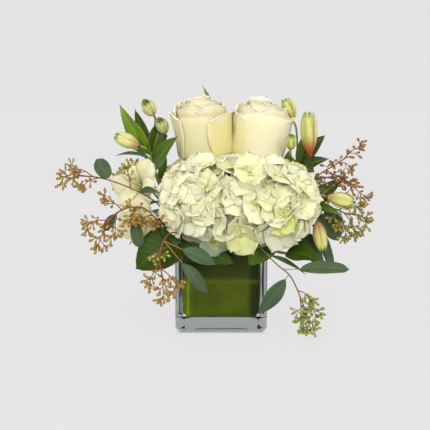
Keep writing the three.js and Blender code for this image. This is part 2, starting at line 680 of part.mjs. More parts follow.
const sprays = [
  {
    name: 'left_upper', mouth: [-33, -16], seeds: 2,
    route: [[-60, -32, 130], [-74, -42, 146], [-102, -45, 161], [-130, -46, 170], [-152, -46, 172]],
    twigs: [
      { at: 0.96, tip: [-172, -44, 169], seeds: 4 },
      { at: 0.93, tip: [-160, -50, 183], seeds: 3 },
      { at: 0.9, tip: [-152, -40, 158], seeds: 2 },
      { at: 0.75, tip: [-106, -34, 180], seeds: 2 },
    ],
    leaves: [
      { at: 0.85, tip: [-132, -47, 190], width: 17, face: [0.3, -0.9, 0.2], outline: 'oval' },
      { at: 0.72, tip: [-64, -62, 156], width: 9, face: [0.2, -0.8, 0.6], arch: 3 },
    ],
  },
  {
    name: 'left_middle', mouth: [-29, -26], seeds: 2,
    route: [[-66, -52, 124], [-84, -58, 140], [-106, -60, 137], [-123, -62, 123]],
    twigs: [
      { at: 0.97, tip: [-144, -65, 120], seeds: 3 },
      { at: 0.95, tip: [-131, -66, 98], seeds: 4 },
      { at: 0.92, tip: [-112, -66, 110], seeds: 2 },
      { at: 0.88, tip: [-128, -60, 144], seeds: 2 },
      { at: 0.7, tip: [-84, -72, 124], seeds: 2 },
    ],
    leaves: [{ at: 0.9, tip: [-126, -52, 112], width: 11, face: [0, -0.9, 0.4], arch: 2 }],
  },
  {
    name: 'left_hanging', mouth: [-17, -34], seeds: 2,
    route: [[-38, -62, 111], [-52, -80, 117], [-59, -89, 111], [-64, -92, 94], [-61, -92, 72]],
    twigs: [
      { at: 0.97, tip: [-60, -92, 47], seeds: 3 },
      { at: 0.95, tip: [-45, -93, 60], seeds: 3 },
      { at: 0.92, tip: [-76, -90, 62], seeds: 2 },
      { at: 0.84, tip: [-66, -84, 84], seeds: 2 },
    ],
    leaves: [
      { at: 0.72, tip: [-9, -84, 88], width: 20, face: [0, -0.8, 0.5], arch: 5, outline: 'oval' },
      { at: 0.77, tip: [-17, -76, 46], width: 15, face: [0.2, -0.9, 0.2], arch: 4 },
    ],
  },
  {
    name: 'right_upper', mouth: [35, -3], seeds: 1,
    route: [[70, -8, 128], [92, -12, 152], [108, -16, 170], [124, -17, 180], [136, -16, 188]],
    twigs: [
      { at: 0.98, tip: [153, -15, 200], seeds: 4 },
      { at: 0.95, tip: [142, -22, 176], seeds: 2 },
      { at: 0.88, tip: [158, -28, 144], seeds: 4 },
      { at: 0.86, tip: [144, -36, 160], seeds: 2 },
      { at: 0.92, tip: [128, -10, 200], seeds: 2 },
    ],
    leaves: [{ at: 0.8, tip: [130, 10, 160], width: 13, face: [0, 0.2, 1], outline: 'oval', arch: 3 }],
  },
  {
    name: 'right_low', mouth: [34, -11], seeds: 1,
    route: [[76, -15, 112], [98, -24, 124], [116, -38, 136], [136, -45, 130]],
    twigs: [
      { at: 0.98, tip: [160, -45, 122], seeds: 3 },
      { at: 0.95, tip: [134, -48, 107], seeds: 3 },
      { at: 0.94, tip: [151, -46, 138], seeds: 2 },
    ],
    leaves: [
      { at: 0.68, tip: [110, -48, 72], width: 14, face: [0.3, -0.9, 0.2], arch: 3 },
      { at: 0.76, tip: [120, -32, 76], width: 14, face: [0.4, -0.8, 0.2], arch: 3 },
    ],
  },
  {
    name: 'right_hanging', mouth: [21, -33], seeds: 1,
    route: [[35, -62, 106], [46, -78, 95], [58, -84, 84], [71, -86, 73], [79, -88, 58], [86, -91, 40]],
    twigs: [
      { at: 0.97, tip: [91, -94, 12], seeds: 4 },
      { at: 0.95, tip: [101, -90, 30], seeds: 2 },
      { at: 0.93, tip: [78, -90, 26], seeds: 3 },
      { at: 0.89, tip: [96, -88, 50], seeds: 2 },
    ],
    leaves: [
      { at: 0.78, tip: [133, -85, 79], width: 14, face: [0, -0.6, 0.8], arch: 4, outline: 'oval' },
      { at: 0.82, tip: [40, -82, 31], width: 17, face: [0.2, -0.9, 0.3], arch: 3, outline: 'oval' },
      { at: 0.66, tip: [90, -62, 68], width: 8, face: [0, -0.5, 0.9], arch: 3 },
    ],
  },
  {
    name: 'back_left', mouth: [-27, 25], seeds: 1,
    route: [[-62, 58, 132], [-84, 72, 146], [-104, 78, 150]],
    twigs: [
      { at: 0.97, tip: [-124, 80, 146], seeds: 3 },
      { at: 0.94, tip: [-110, 84, 166], seeds: 2 },
      { at: 0.9, tip: [-104, 92, 134], seeds: 2 },
    ],
    leaves: [
      { at: 0.8, tip: [-64, 88, 168], width: 12, face: [0, 0.7, 0.7], arch: 4 },
      { at: 0.7, tip: [-92, 52, 118], width: 13, face: [-0.4, 0.2, 0.9], arch: 3, outline: 'oval' },
    ],
  },
  {
    name: 'back_right', mouth: [29, 24], seeds: 1,
    route: [[68, 58, 124], [88, 72, 134], [106, 80, 134]],
    twigs: [
      { at: 0.97, tip: [126, 80, 124], seeds: 3 },
      { at: 0.94, tip: [116, 86, 148], seeds: 2 },
      { at: 0.9, tip: [102, 96, 118], seeds: 2 },
    ],
    leaves: [
      { at: 0.8, tip: [78, 90, 160], width: 12, face: [0, 0.7, 0.7], arch: 4 },
      { at: 0.7, tip: [98, 48, 104], width: 13, face: [0.4, 0.2, 0.9], arch: 3, outline: 'oval' },
    ],
  },
];

function addSpray({ name, mouth, route, seeds, twigs, leaves }) {
  const path = rootedPath(mouth, woodyStem, overRim(mouth, route));
  const pieces = [tube(path, woodyStem, 4, 9), ...capsulesOn(path, seeds, 0.94, 1)];
  twigs.forEach(({ at, tip, seeds: count }, i) => {
    const fork = path.getPointAt(at);
    const end = vec(...tip);
    const bend = fork.clone().lerp(end, 0.5).add(vec(0, 0, 3));
    const twig = smoothPath([fork, bend, end]);
    pieces.push(tube(twig, twigRadius, 3, 2), ...capsulesOn(twig, count, 0.35, i));
  });
  for (const { at, tip, face, ...form } of leaves) {
    pieces.push(leaf({ root: path.getPointAt(at), tip: vec(...tip), face: vec(...face), ...form }));
  }
  addPiece('eucalyptus', `eucalyptus_${name}`, fuse(pieces), looks.eucalyptus);
}

// Salal: broad leaves low down, in a collar over the vase's rim

const salalSprigs = [
  {
    name: 'left', mouth: [-24, -31], route: [[-48, -56, 101]],
    leaves: [
      { at: 0.93, tip: [14, -62, 80], width: 22, face: [0, -1, 0.3], arch: 2, cup: 0.1 },
      { at: 0.97, tip: [-84, -62, 72], width: 40, face: [-0.3, -0.9, 0.4], arch: 6 },
      { at: 0.99, tip: [-90, -30, 82], width: 26, face: [-0.5, 0, 0.9], arch: 4 },
    ],
  },
  {
    name: 'front', mouth: [28, -28], route: [[56, -58, 94], [70, -62, 91]],
    leaves: [
      { at: 0.95, tip: [22, -62, 73], width: 33, face: [0, -1, 0.3], arch: 3, cup: 0.15 },
      { at: 0.99, tip: [104, -74, 84], width: 30, face: [0, -0.5, 0.9], arch: 5 },
    ],
  },
  {
    name: 'right', mouth: [34, 15], route: [[66, 22, 112]],
    leaves: [
      { at: 0.97, tip: [114, 4, 100], width: 34, face: [0.2, 0, 1], arch: 7 },
      { at: 0.99, tip: [88, 54, 99], width: 30, face: [0.2, 0.3, 0.9], arch: 5 },
    ],
  },
  {
    name: 'back_left', mouth: [-18, 33], route: [[-42, 60, 106]],
    leaves: [
      { at: 0.96, tip: [-20, 98, 75], width: 34, face: [0, 0.8, 0.6], arch: 4 },
      { at: 0.99, tip: [-84, 70, 84], width: 34, face: [-0.4, 0.4, 0.8], arch: 6 },
    ],
  },
  {
    name: 'back_right', mouth: [19, 33], route: [[40, 60, 106]],
    leaves: [
      { at: 0.96, tip: [26, 98, 74], width: 34, face: [0, 0.8, 0.6], arch: 4 },
      { at: 0.99, tip: [82, 76, 84], width: 34, face: [0.4, 0.4, 0.8], arch: 6 },
    ],
  },
  {
    name: 'side', mouth: [-34, 16], route: [[-62, 24, 110]],
    leaves: [
      { at: 0.97, tip: [-104, 16, 84], width: 34, face: [-0.4, 0, 0.9], arch: 6 },
      { at: 0.99, tip: [-92, 56, 112], width: 30, face: [-0.2, 0.3, 0.9], arch: 6 },
    ],
  },
];

function addSalal({ name, mouth, route, leaves }) {
  const path = rootedPath(mouth, woodyStem, overRim(mouth, route));
  const pieces = [tube(path, woodyStem, 4, 8)];
  for (const { at, tip, face, ...form } of leaves) {
    const root = path.getPointAt(at);
    pieces.push(leaf({ root, tip: vec(...tip), face: vec(...face), outline: 'heart', rows: 5, ...form }));
  }
  addPiece('salal', `salal_${name}`, fuse(pieces), looks.salal);
}

hydrangeas.forEach(addHydrangea);
roses.forEach(addRose);
alstroemerias.forEach(addAlstroemeria);
sprays.forEach(addSpray);
salalSprigs.forEach(addSalal);
addVase();
addLiner();
addWater();

export default centerpiece;
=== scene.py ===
# A low table centerpiece: hydrangea, roses, alstroemeria, eucalyptus and salal in a lined glass cube.
# Points and sizes are millimetres in the CAD frame until a mesh is made.
import math

import bpy
import numpy as np
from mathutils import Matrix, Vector


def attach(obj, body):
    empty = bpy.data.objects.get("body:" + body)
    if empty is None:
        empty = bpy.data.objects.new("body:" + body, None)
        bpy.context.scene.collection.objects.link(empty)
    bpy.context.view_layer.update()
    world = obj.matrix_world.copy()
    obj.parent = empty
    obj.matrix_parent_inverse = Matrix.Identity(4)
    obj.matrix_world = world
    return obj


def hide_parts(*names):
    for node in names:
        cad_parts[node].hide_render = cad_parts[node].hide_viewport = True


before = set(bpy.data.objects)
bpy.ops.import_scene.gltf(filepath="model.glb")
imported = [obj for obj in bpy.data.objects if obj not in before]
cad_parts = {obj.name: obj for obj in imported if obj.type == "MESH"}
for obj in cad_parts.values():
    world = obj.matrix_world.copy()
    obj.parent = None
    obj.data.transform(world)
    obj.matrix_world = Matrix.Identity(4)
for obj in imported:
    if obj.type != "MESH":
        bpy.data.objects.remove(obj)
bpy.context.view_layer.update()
mm = 0.001
up = np.array([0.0, 0.0, 1.0])
goldenTurn = math.pi * (3 - math.sqrt(5))
print("frame loaded")


def linear(code):
    parts = [int(code[i:i + 2], 16) / 255 for i in (1, 3, 5)]
    return np.array([c / 12.92 if c <= 0.04045 else ((c + 0.055) / 1.055) ** 2.4 for c in parts])


def tintsOf(**codes):  # named colours, each turned linear
    return {name: linear(code) for name, code in codes.items()}


def mix(first, second, share):
    share = np.asarray(share, float)
    if share.ndim:
        share = share[..., None]
    return first * (1 - share) + second * share


def addNode(tree, kind, values=None, links=None, **settings):
    node = tree.nodes.new(kind)
    for key, value in settings.items():
        setattr(node, key, value)
    for socket, value in (values or {}).items():
        node.inputs[socket].default_value = value
    for socket, source in (links or {}).items():
        tree.links.new(source, node.inputs[socket])
    return node


def point(*numbers):
    return np.array(numbers, float)


def unit(v):
    return v / (np.linalg.norm(v) + 1e-12)


def smooth(low, high, x):
    t = np.clip((x - low) / (high - low), 0, 1)
    return t * t * (3 - 2 * t)


def shares(rows, cols, start=0.0):  # along and across a blade
    return np.linspace(start, 1, rows)[:, None], np.linspace(-1, 1, cols)[None, :]


def roundGrid(r, angle, z, turnBack, base):  # measures about a bloom's axis, turned into points
    return np.stack([r * np.cos(angle), r * np.sin(angle), z + 0 * angle], -1) @ turnBack.T + base


def upright(axis, spin=0.0):  # a frame whose third column is the axis, turned from +Z the short way
    turn = Vector(up).rotation_difference(Vector(unit(axis))).to_matrix()
    spun = np.array([[math.cos(spin), -math.sin(spin), 0], [math.sin(spin), math.cos(spin), 0], [0, 0, 1]])
    return np.array(turn) @ spun


def smoothPath(points, perSpan=8):  # centripetal curve through the points
    pts = [point(*p) for p in points]
    pts = [2 * pts[0] - pts[1]] + pts + [2 * pts[-1] - pts[-2]]
    line = []
    for a, b, c, d in zip(pts, pts[1:], pts[2:], pts[3:]):
        before, span, after = (max(1e-3, np.linalg.norm(q - p)) ** 0.5 for p, q in ((a, b), (b, c), (c, d)))
        leave = ((b - a) / before - (c - a) / (before + span) + (c - b) / span) * span
        arrive = ((c - b) / span - (d - b) / (span + after) + (d - c) / after) * span
        for t in np.arange(perSpan) / perSpan:
            line.append((2 * t**3 - 3 * t**2 + 1) * b + (t**3 - 2 * t**2 + t) * leave
                        + (3 * t**2 - 2 * t**3) * c + (t**3 - t**2) * arrive)
    line.append(pts[-2])
    return np.array(line)


def along(path, share):  # the point and direction at a share of a path's length
    steps = np.linalg.norm(np.diff(path, axis=0), axis=1)
    reach = np.concatenate([[0], np.cumsum(steps)])
    want = share * reach[-1]
    i = int(np.clip(np.searchsorted(reach, want) - 1, 0, len(steps) - 1))
    t = (want - reach[i]) / max(steps[i], 1e-9)
    return path[i] + (path[i + 1] - path[i]) * t, unit(path[i + 1] - path[i])


def newObject(name, data):
    thing = bpy.data.objects.new(name, data)
    bpy.context.scene.collection.objects.link(thing)
    return thing


def smoothMesh(name, points, faces):
    mesh = bpy.data.meshes.new(name)
    mesh.from_pydata(points, [], faces)
    mesh.polygons.foreach_set("use_smooth", [True] * len(mesh.polygons))
    return mesh


def aimFrom(thing, place, target):
    thing.location = place
    thing.rotation_euler = (Vector(target) - Vector(place)).to_track_quat("-Z", "Y").to_euler()


class Pile:  # gathers points, faces and colours, then becomes one mesh
    def __init__(self):
        self.points = []
        self.faces = []
        self.tints = []
        self.blades = []
        self.count = 0

    def add(self, points, faces, tint, blade=(0.0, 0.0, 0.0)):
        number = len(points)
        self.points.append(points)
        self.faces += [tuple(int(i) + self.count for i in face) for face in faces]
        self.tints.append(np.broadcast_to(tint, (number, 3)))
        self.blades.append(np.broadcast_to(blade, (number, 3)))
        self.count += number

    def toPiece(self, name, material, slot, *nodes):
        mesh = smoothMesh(name, (np.concatenate(self.points) * mm).tolist(), self.faces)
        colours = np.ones((self.count, 4))
        colours[:, :3] = np.concatenate(self.tints)
        layer = mesh.color_attributes.new("tint", "FLOAT_COLOR", "POINT")
        layer.data.foreach_set("color", colours.ravel())
        blade = mesh.attributes.new("blade", "FLOAT_VECTOR", "POINT")
        blade.data.foreach_set("vector", np.concatenate(self.blades).ravel())
        mesh.materials.append(material)
        piece = newObject(name, mesh)
        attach(piece, "root")
        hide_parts(*nodes)


def addSheet(pile, grid, thick, tint, under=None, edge=0.4):  # a thin closed blade over a grid of points
    rows, cols = grid.shape[:2]
    normal = np.cross(np.gradient(grid, axis=0), np.gradient(grid, axis=1))
    normal /= np.linalg.norm(normal, axis=2, keepdims=True) + 1e-9
    half = np.full((rows, cols, 1), thick / 2)
    half[:, 0] *= edge
    half[:, -1] *= edge
    half[-1] *= edge
    points = np.concatenate([(grid + normal * half).reshape(-1, 3), (grid - normal * half).reshape(-1, 3)])
    n = rows * cols
    at = np.arange(n).reshape(rows, cols)
    a, b, c, d = at[:-1, :-1], at[:-1, 1:], at[1:, 1:], at[1:, :-1]
    quads = [np.stack([a, d, c, b], -1), np.stack([a, b, c, d], -1) + n]
    rims = ((at[:-1, 0], at[1:, 0]), (at[1:, -1], at[:-1, -1]), (at[0, 1:], at[0, :-1]),
            (at[-1, :-1], at[-1, 1:]))
    for p, q in rims:
        quads.append(np.stack([p, p + n, q + n, q], -1))
    faces = np.concatenate([q.reshape(-1, 4) for q in quads])
    tint = np.broadcast_to(tint, (rows, cols, 3)).reshape(-1, 3)
    under = tint if under is None else np.broadcast_to(under, (rows, cols, 3)).reshape(-1, 3)
    u, v = np.meshgrid(np.linspace(-1, 1, cols), np.linspace(0, 1, rows))
    flat = np.stack([u.ravel(), v.ravel()], -1)
    blades = np.concatenate([np.c_[flat, np.ones(n)], np.c_[flat, np.zeros(n)]])
    pile.add(points, faces, np.concatenate([tint, under]), blades)


def ringFaces(rings, sides):  # quads from ring to ring, with both end rings filled
    faces = [tuple(reversed(range(sides))), tuple(range((rings - 1) * sides, rings * sides))]
    for i in range(rings - 1):
        for j in range(sides):
            k = (j + 1) % sides
            faces.append((i * sides + j, i * sides + k, (i + 1) * sides + k, (i + 1) * sides + j))
    return faces


def addRings(pile, points, sides, reach, tint):  # reach says how far along each ring lies
    tint = np.asarray(tint, float)
    if tint.ndim == 2:
        tint = np.repeat(tint, sides, axis=0)
    v = np.repeat(reach, sides)
    pile.add(points, ringFaces(len(reach), sides), tint, np.c_[np.zeros_like(v), v, np.ones_like(v)])


def addTube(pile, path, radii, sides, tint):
    path = np.asarray(path, float)
    rings = len(path)
    tangents = np.gradient(path, axis=0)
    side = np.cross(tangents[0], up if abs(unit(tangents[0])[2]) < 0.9 else point(1, 0, 0))
    turn = 2 * math.pi * np.arange(sides)[:, None] / sides
    points = []
    for place, tangent, radius in zip(path, tangents, np.broadcast_to(radii, rings)):
        tangent = unit(tangent)
        side = unit(side - tangent * np.dot(side, tangent))
        points.append(place + radius * (np.cos(turn) * side + np.sin(turn) * np.cross(tangent, side)))
    addRings(pile, np.concatenate(points), sides, np.linspace(0, 1, rings), tint)


def addTurned(pile, profile, sides, base, axis, tint):  # a small turned form of (radius, height) pairs
    profile = np.asarray(profile, float)
    turn = 2 * math.pi * np.arange(sides) / sides
    ring = np.stack([np.cos(turn), np.sin(turn), np.zeros(sides)], -1)
    local = np.concatenate([ring * r + up * z for r, z in profile])
    addRings(pile, local @ upright(axis).T + base, sides, profile[:, 1] / profile[-1, 1], tint)


def newMaterial(name):
    material = bpy.data.materials.new(name)
    material.use_nodes = True
    material.node_tree.nodes.clear()
    return material, material.node_tree


def finishShader(tree, values, links, **more):
    shader = addNode(tree, "ShaderNodeBsdfPrincipled", values, links)
    addNode(tree, "ShaderNodeOutputMaterial", None, {"Surface": shader.outputs[0], **more})


def noise(tree, scale, detail=2.0):  # about as many spots to a metre as the scale says
    place = addNode(tree, "ShaderNodeTexCoord")
    return addNode(tree, "ShaderNodeTexNoise", {"Scale": scale, "Detail": detail},
                   {"Vector": place.outputs["Object"]}).outputs["Fac"]


def bumpFrom(tree, height, strength, deep):
    return addNode(tree, "ShaderNodeBump", {"Strength": strength, "Distance": deep},
                   {"Height": height}).outputs[0]


def between(tree, value, low, high, toLow=0.0, toHigh=1.0, **settings):
    limits = {"From Min": low, "From Max": high, "To Min": toLow, "To Max": toHigh}
    return addNode(tree, "ShaderNodeMapRange", limits, {"Value": value}, **settings).outputs[0]


def bladeParts(tree):  # across, along and side of a petal or leaf
    blade = addNode(tree, "ShaderNodeAttribute", attribute_name="blade")
    return addNode(tree, "ShaderNodeSeparateXYZ", None, {0: blade.outputs["Vector"]})


def sums(tree, operation, first, second=0.0):
    node = addNode(tree, "ShaderNodeMath", operation=operation)
    for i, value in enumerate((first, second)):
        if isinstance(value, (int, float)):
            node.inputs[i].default_value = value
        else:
            tree.links.new(value, node.inputs[i])
    return node.outputs[0]


def tintedBase(tree, mottle, scale):  # the mesh's own colour with a soft mottle over it
    tint = addNode(tree, "ShaderNodeAttribute", attribute_name="tint")
    amount = between(tree, noise(tree, scale, 3.0), 0.3, 0.7, 1 - mottle, 1 + mottle)
    return addNode(tree, "ShaderNodeVectorMath", None, {0: tint.outputs["Color"], 1: amount},
                   operation="MULTIPLY").outputs[0]


# Fresh petals: matt, thin and a little see-through, with fine veins that fan from the claw.
def freshPetal(name, veins, roughness, glow, veinDepth, mottle=0.03):
    material, tree = newMaterial(name)
    fan = sums(tree, "MULTIPLY", bladeParts(tree).outputs[0], veins)
    ridge = sums(tree, "COSINE", sums(tree, "MULTIPLY", fan, math.pi))
    vein = sums(tree, "POWER", sums(tree, "ABSOLUTE", ridge), 6.0)
    veined = addNode(tree, "ShaderNodeMix", {7: (0.93, 0.94, 0.84, 1)},
                     {0: sums(tree, "MULTIPLY", vein, veinDepth), 6: tintedBase(tree, mottle, 140.0)},
                     data_type="RGBA", blend_type="MULTIPLY")
    relief = bumpFrom(tree, vein, veinDepth * 0.25, 0.5 * mm)
    finishShader(tree, {"Roughness": roughness, "IOR": 1.4, "Specular IOR Level": 0.25,
                        "Subsurface Weight": glow, "Subsurface Radius": (0.8, 0.8, 0.7),
                        "Subsurface Scale": 3 * mm},
                 {"Base Color": veined.outputs[2], "Normal": relief})
    return material


# Leaves: waxed above and matt below. Side veins leave the rib at a slant, or run along it.
def freshLeaf(name, roughness, veins, slant, ribTint, rim=0.0, gloss=0.3, lineDepth=0.45):
    material, tree = newMaterial(name)
    parts = bladeParts(tree)
    across = sums(tree, "ABSOLUTE", parts.outputs[0])
    line = across
    if slant:
        line = sums(tree, "SUBTRACT", parts.outputs[1], sums(tree, "MULTIPLY", across, slant))
    wave = sums(tree, "ABSOLUTE", sums(tree, "SINE", sums(tree, "MULTIPLY", line, veins * math.pi)))
    vein = sums(tree, "MULTIPLY", sums(tree, "SUBTRACT", 1.0, sums(tree, "POWER", wave, 0.35)), 0.7)
    rib = between(tree, across, 0.10, 0.03)
    edge = between(tree, across, 0.86, 1.0, toHigh=rim)
    lines = sums(tree, "MAXIMUM", sums(tree, "MAXIMUM", vein, rib), edge)
    blend = addNode(tree, "ShaderNodeMix", {7: (*linear(ribTint), 1)},
                    {0: sums(tree, "MULTIPLY", lines, lineDepth), 6: tintedBase(tree, 0.16, 60.0)},
                    data_type="RGBA")
    relief = bumpFrom(tree, sums(tree, "SUBTRACT", 1.0, lines), lineDepth * 0.7, 0.8 * mm)
    shine = between(tree, parts.outputs[2], 0.0, 1.0, 0.75, roughness)
    finishShader(tree, {"IOR": 1.45, "Specular IOR Level": gloss},
                 {"Base Color": blend.outputs[2], "Normal": relief, "Roughness": shine})
    return material


# Stems, twigs and seed cases: the mesh's colour with a fine bark or skin grain about 0.8 mm across.
def grownSkin(name, roughness, grain):
    material, tree = newMaterial(name)
    finishShader(tree, {"Roughness": roughness, "IOR": 1.45},
                 {"Base Color": tintedBase(tree, 0.12, 300.0),
                  "Normal": bumpFrom(tree, noise(tree, 1 / (0.8 * mm)), grain, 0.3 * mm)})
    return material


# Soda-lime glass, pressed in a mould: clear and smooth, with a faint grey-green body and slight waves. Its
# index and the tint of its reflections are set lower than the real glass has.
def pressedGlass():
    material, tree = newMaterial("pressedSodaLimeGlass")
    body = addNode(tree, "ShaderNodeVolumeAbsorption", {"Color": (0.0, 0.08, 0.0, 1), "Density": 8.0})
    finishShader(tree, {"Base Color": (0.93, 0.95, 0.95, 1), "Roughness": 0.03, "IOR": 1.42,
                        "Specular Tint": (0.3, 0.35, 0.28, 1), "Transmission Weight": 1.0},
                 {"Normal": bumpFrom(tree, noise(tree, 1 / (25 * mm), 1.0), 0.06, 2 * mm)},
                 Volume=body.outputs[0])
    return material


# Clear water at rest, with a faint tint from the cut stems.
def stillWater():
    material, tree = newMaterial("stillVaseWater")
    finishShader(tree, {"Base Color": (0.90, 0.94, 0.84, 1), "Roughness": 0.0, "IOR": 1.333,
                        "Transmission Weight": 1.0},
                 {"Normal": bumpFrom(tree, noise(tree, 1 / (18 * mm), 1.0), 0.03, 1 * mm)})
    return material


petalHydrangea = freshPetal("hydrangeaPetalMatt", 5.0, 0.75, 0.45, 0.2)
petalRose = freshPetal("rosePetalVelvet", 9.0, 0.65, 0.6, 0.10, 0.015)
petalAlstroemeria = freshPetal("alstroemeriaTepalSatin", 4.0, 0.5, 0.35, 0.5)
leafGlossy = freshLeaf("alstroemeriaLeafGloss", 0.32, 7.0, 0.0, "#8fa63c")
leafWaxy = freshLeaf("eucalyptusLeafBloom", 0.55, 9.0, 0.22, "#8ea277", rim=0.75, lineDepth=0.13)
leafLeathery = freshLeaf("salalLeafLeathery", 0.36, 8.0, 0.30, "#6d8a2c", gloss=0.1, lineDepth=0.22)
leafLiner = freshLeaf("linerLeafWet", 0.42, 22.0, 0.0, "#6d801c", gloss=0.05)
skinStem = grownSkin("cutStemGreen", 0.5, 0.10)
skinTwig = grownSkin("eucalyptusBark", 0.6, 0.35)
glassPressed = pressedGlass()
waterStill = stillWater()
print("materials made")


cameraPlan = dict(place=(-6.7, -1181.8, 330.0), target=(-6.7, 0.0, 121.6), lens=90.5, sensor=36, reach=50)


def makeCamera():
    lens = bpy.data.cameras.new("camera")
    lens.lens = cameraPlan["lens"]
    lens.sensor_width = cameraPlan["sensor"]
    lens.clip_end = cameraPlan["reach"]
    camera = newObject("camera", lens)
    aimFrom(camera, Vector(cameraPlan["place"]) * mm, Vector(cameraPlan["target"]) * mm)
    bpy.context.scene.camera = camera


studio = dict(floor="#e5e5e5", radius=2.6, bend=1.2, bendSteps=8, wall=3.2, sides=64, drop=0.4 * mm,
              shade=0.07, glow=0.915, contact=(0.038, 0.05), contactGlow=0.1, sky=0.8, aim=(0, 0, 0.12))
lamps = dict(key=dict(place=(-0.6, -1.8, 1.25), size=1.1, power=22.0),
             fill=dict(place=(0.7, -1.8, 0.95), size=1.1, power=19.0))


# Painted floor that sweeps up all round into the wall. Part of its light is its own, so it reads flat.
def makeFloor():
    turns = studio["sides"]
    profile = [(0.02, 0.0), (0.3, 0.0), (studio["radius"], 0.0)]
    for i in range(1, studio["bendSteps"] + 1):
        lean = math.pi / 2 * i / studio["bendSteps"]
        reach = studio["radius"] + studio["bend"] * math.sin(lean)
        profile.append((reach, studio["bend"] * (1 - math.cos(lean))))
    profile.append((studio["radius"] + studio["bend"], studio["wall"]))
    points = []
    for r, z in profile:
        points += [(r * math.cos(2 * math.pi * j / turns), r * math.sin(2 * math.pi * j / turns), z)
                   for j in range(turns)]
    faces = [tuple(range(turns))]
    for i in range(len(profile) - 1):
        for j in range(turns):
            k = (j + 1) % turns
            faces.append((i * turns + j, (i + 1) * turns + j, (i + 1) * turns + k, i * turns + k))
    mesh = smoothMesh("floor", points, faces)
    floor = newObject("floor", mesh)
    floor.location.z = -studio["drop"]
    material, tree = newMaterial("mattStudioPaint")
    place = addNode(tree, "ShaderNodeTexCoord")
    pale = linear(studio["floor"])
    parts = addNode(tree, "ShaderNodeSeparateXYZ", None, {0: place.outputs["Object"]})
    across, deep = (sums(tree, "ABSOLUTE", parts.outputs[i]) for i in (0, 1))
    glow = between(tree, sums(tree, "MAXIMUM", across, deep), *studio["contact"],
                   studio["contactGlow"] * studio["glow"], studio["glow"],
                   interpolation_type="SMOOTHSTEP")  # dimmer under the vase, as its contact shadow
    finishShader(tree, {"Base Color": (*(pale * studio["shade"]), 1), "Roughness": 0.9,
                        "Specular IOR Level": 0.1, "Emission Color": (*pale, 1)},
                 {"Normal": bumpFrom(tree, noise(tree, 900.0), 0.02, 0.5 * mm), "Emission Strength": glow})
    mesh.materials.append(material)


def makeLights():
    world = bpy.data.worlds.new("softSky")
    world.use_nodes = True
    world.node_tree.nodes["Background"].inputs[0].default_value = (1, 1, 1, 1)
    world.node_tree.nodes["Background"].inputs[1].default_value = studio["sky"]
    bpy.context.scene.world = world
    for name, plan in lamps.items():
        lamp = bpy.data.lights.new(name, "AREA")
        lamp.energy = plan["power"]
        lamp.size = plan["size"]
        aimFrom(newObject(name, lamp), plan["place"], studio["aim"])


makeCamera()
makeFloor()
makeLights()
bpy.context.scene.view_settings.view_transform = "Standard"
print("studio made")


vase = dict(side=100.0, height=100.0, wall=8.5, base=17.0, corner=10.0, foot=6.0, hollow=3.6,
            cavityCorner=8.0, cavityRound=(0.2, 0.25), rim=2.2, cornerSteps=8)


def squareRing(half, corner, z):  # a level rounded square, as points
    corner = min(corner, half - 0.1)
    ring = []
    for quarter in range(4):
        middle = math.pi / 2 * quarter + math.pi / 4
        cx = (half - corner) * math.copysign(1, math.cos(middle))
        cy = (half - corner) * math.copysign(1, math.sin(middle))
        for i in range(vase["cornerSteps"] + 1):
            turn = math.pi / 2 * (quarter + i / vase["cornerSteps"])
            ring.append((cx + corner * math.cos(turn), cy + corner * math.sin(turn), z))
        nextTurn = math.pi / 2 * (quarter + 1)
        for share in (0.1, 0.3, 0.5, 0.7, 0.9):
            away = point(-math.sin(nextTurn), math.cos(nextTurn), 0) * (2 * share - 1) * (half - corner)
            wall = point(math.cos(nextTurn), math.sin(nextTurn), 0) * half
            ring.append(tuple(wall + away + point(0, 0, z)))
    return np.array(ring)


def quarterRound(steps):  # how far a quarter round has left to go sideways, and how far it has risen
    turns = [math.pi / 2 * i / steps for i in range(steps + 1)]
    return [(1 - math.sin(turn), 1 - math.cos(turn)) for turn in turns]


def makeVase():
    side, top, corner, foot, rim = (vase[key] for key in ("side", "height", "corner", "foot", "rim"))
    half = side / 2
    inner = half - vase["wall"]
    inCorner = vase["cavityCorner"]
    floor = vase["base"]
    rings = []
    for share in (0.1, 0.5, 0.8, 0.9, 0.96, 0.99, 1.0):  # hollowed underside
        rise = vase["hollow"] * (1 - share**6) ** 0.5
        rings.append(squareRing(share * (half - foot - 2), corner * share, rise))
    rings += [squareRing(half - foot * left, corner, foot * risen) for left, risen in quarterRound(6)]
    rings += [squareRing(half, corner, z) for z in (30, 60, top - rim - 1)]
    rings += [squareRing(half - rim * risen, corner, top - rim * left) for left, risen in quarterRound(4)]
    rings += [squareRing(inner + rim * left, inCorner, top - rim * risen) for left, risen in quarterRound(4)]
    rings.append(squareRing(inner, inCorner, 60))
    inward, upward = vase["cavityRound"]
    rings += [squareRing(inner - inward * risen, inCorner, floor + upward * left)
              for left, risen in quarterRound(4)]
    rings.append(squareRing(inner * 0.5, inCorner, floor))
    rings.append(squareRing(inner * 0.1, 2.0, floor))
    pile = Pile()
    pile.add(np.concatenate(rings), ringFaces(len(rings), len(rings[0])), point(1, 1, 1))
    pile.toPiece("glassVasePressed", glassPressed, "clear_glass", "glass_vase")


# The liner's colours are painted light and shade: lighter below the waterline, darker above it, a bright
# refraction strip on the left front and a dark shade where it turns away at the right front.
liner = dict(deep=82.7, clear=0.6, corner=7.85, bottom=17.5, top=90.0, thick=0.5, seamX=16.5, seamGap=14.0,
             waterline=60.5, step=5, waves=((0.9, 0.37), (0.5, 0.91)),
             **tintsOf(wet="#5e6c06", dry="#434c0e", strip="#a2ba12", shade="#10150a"))
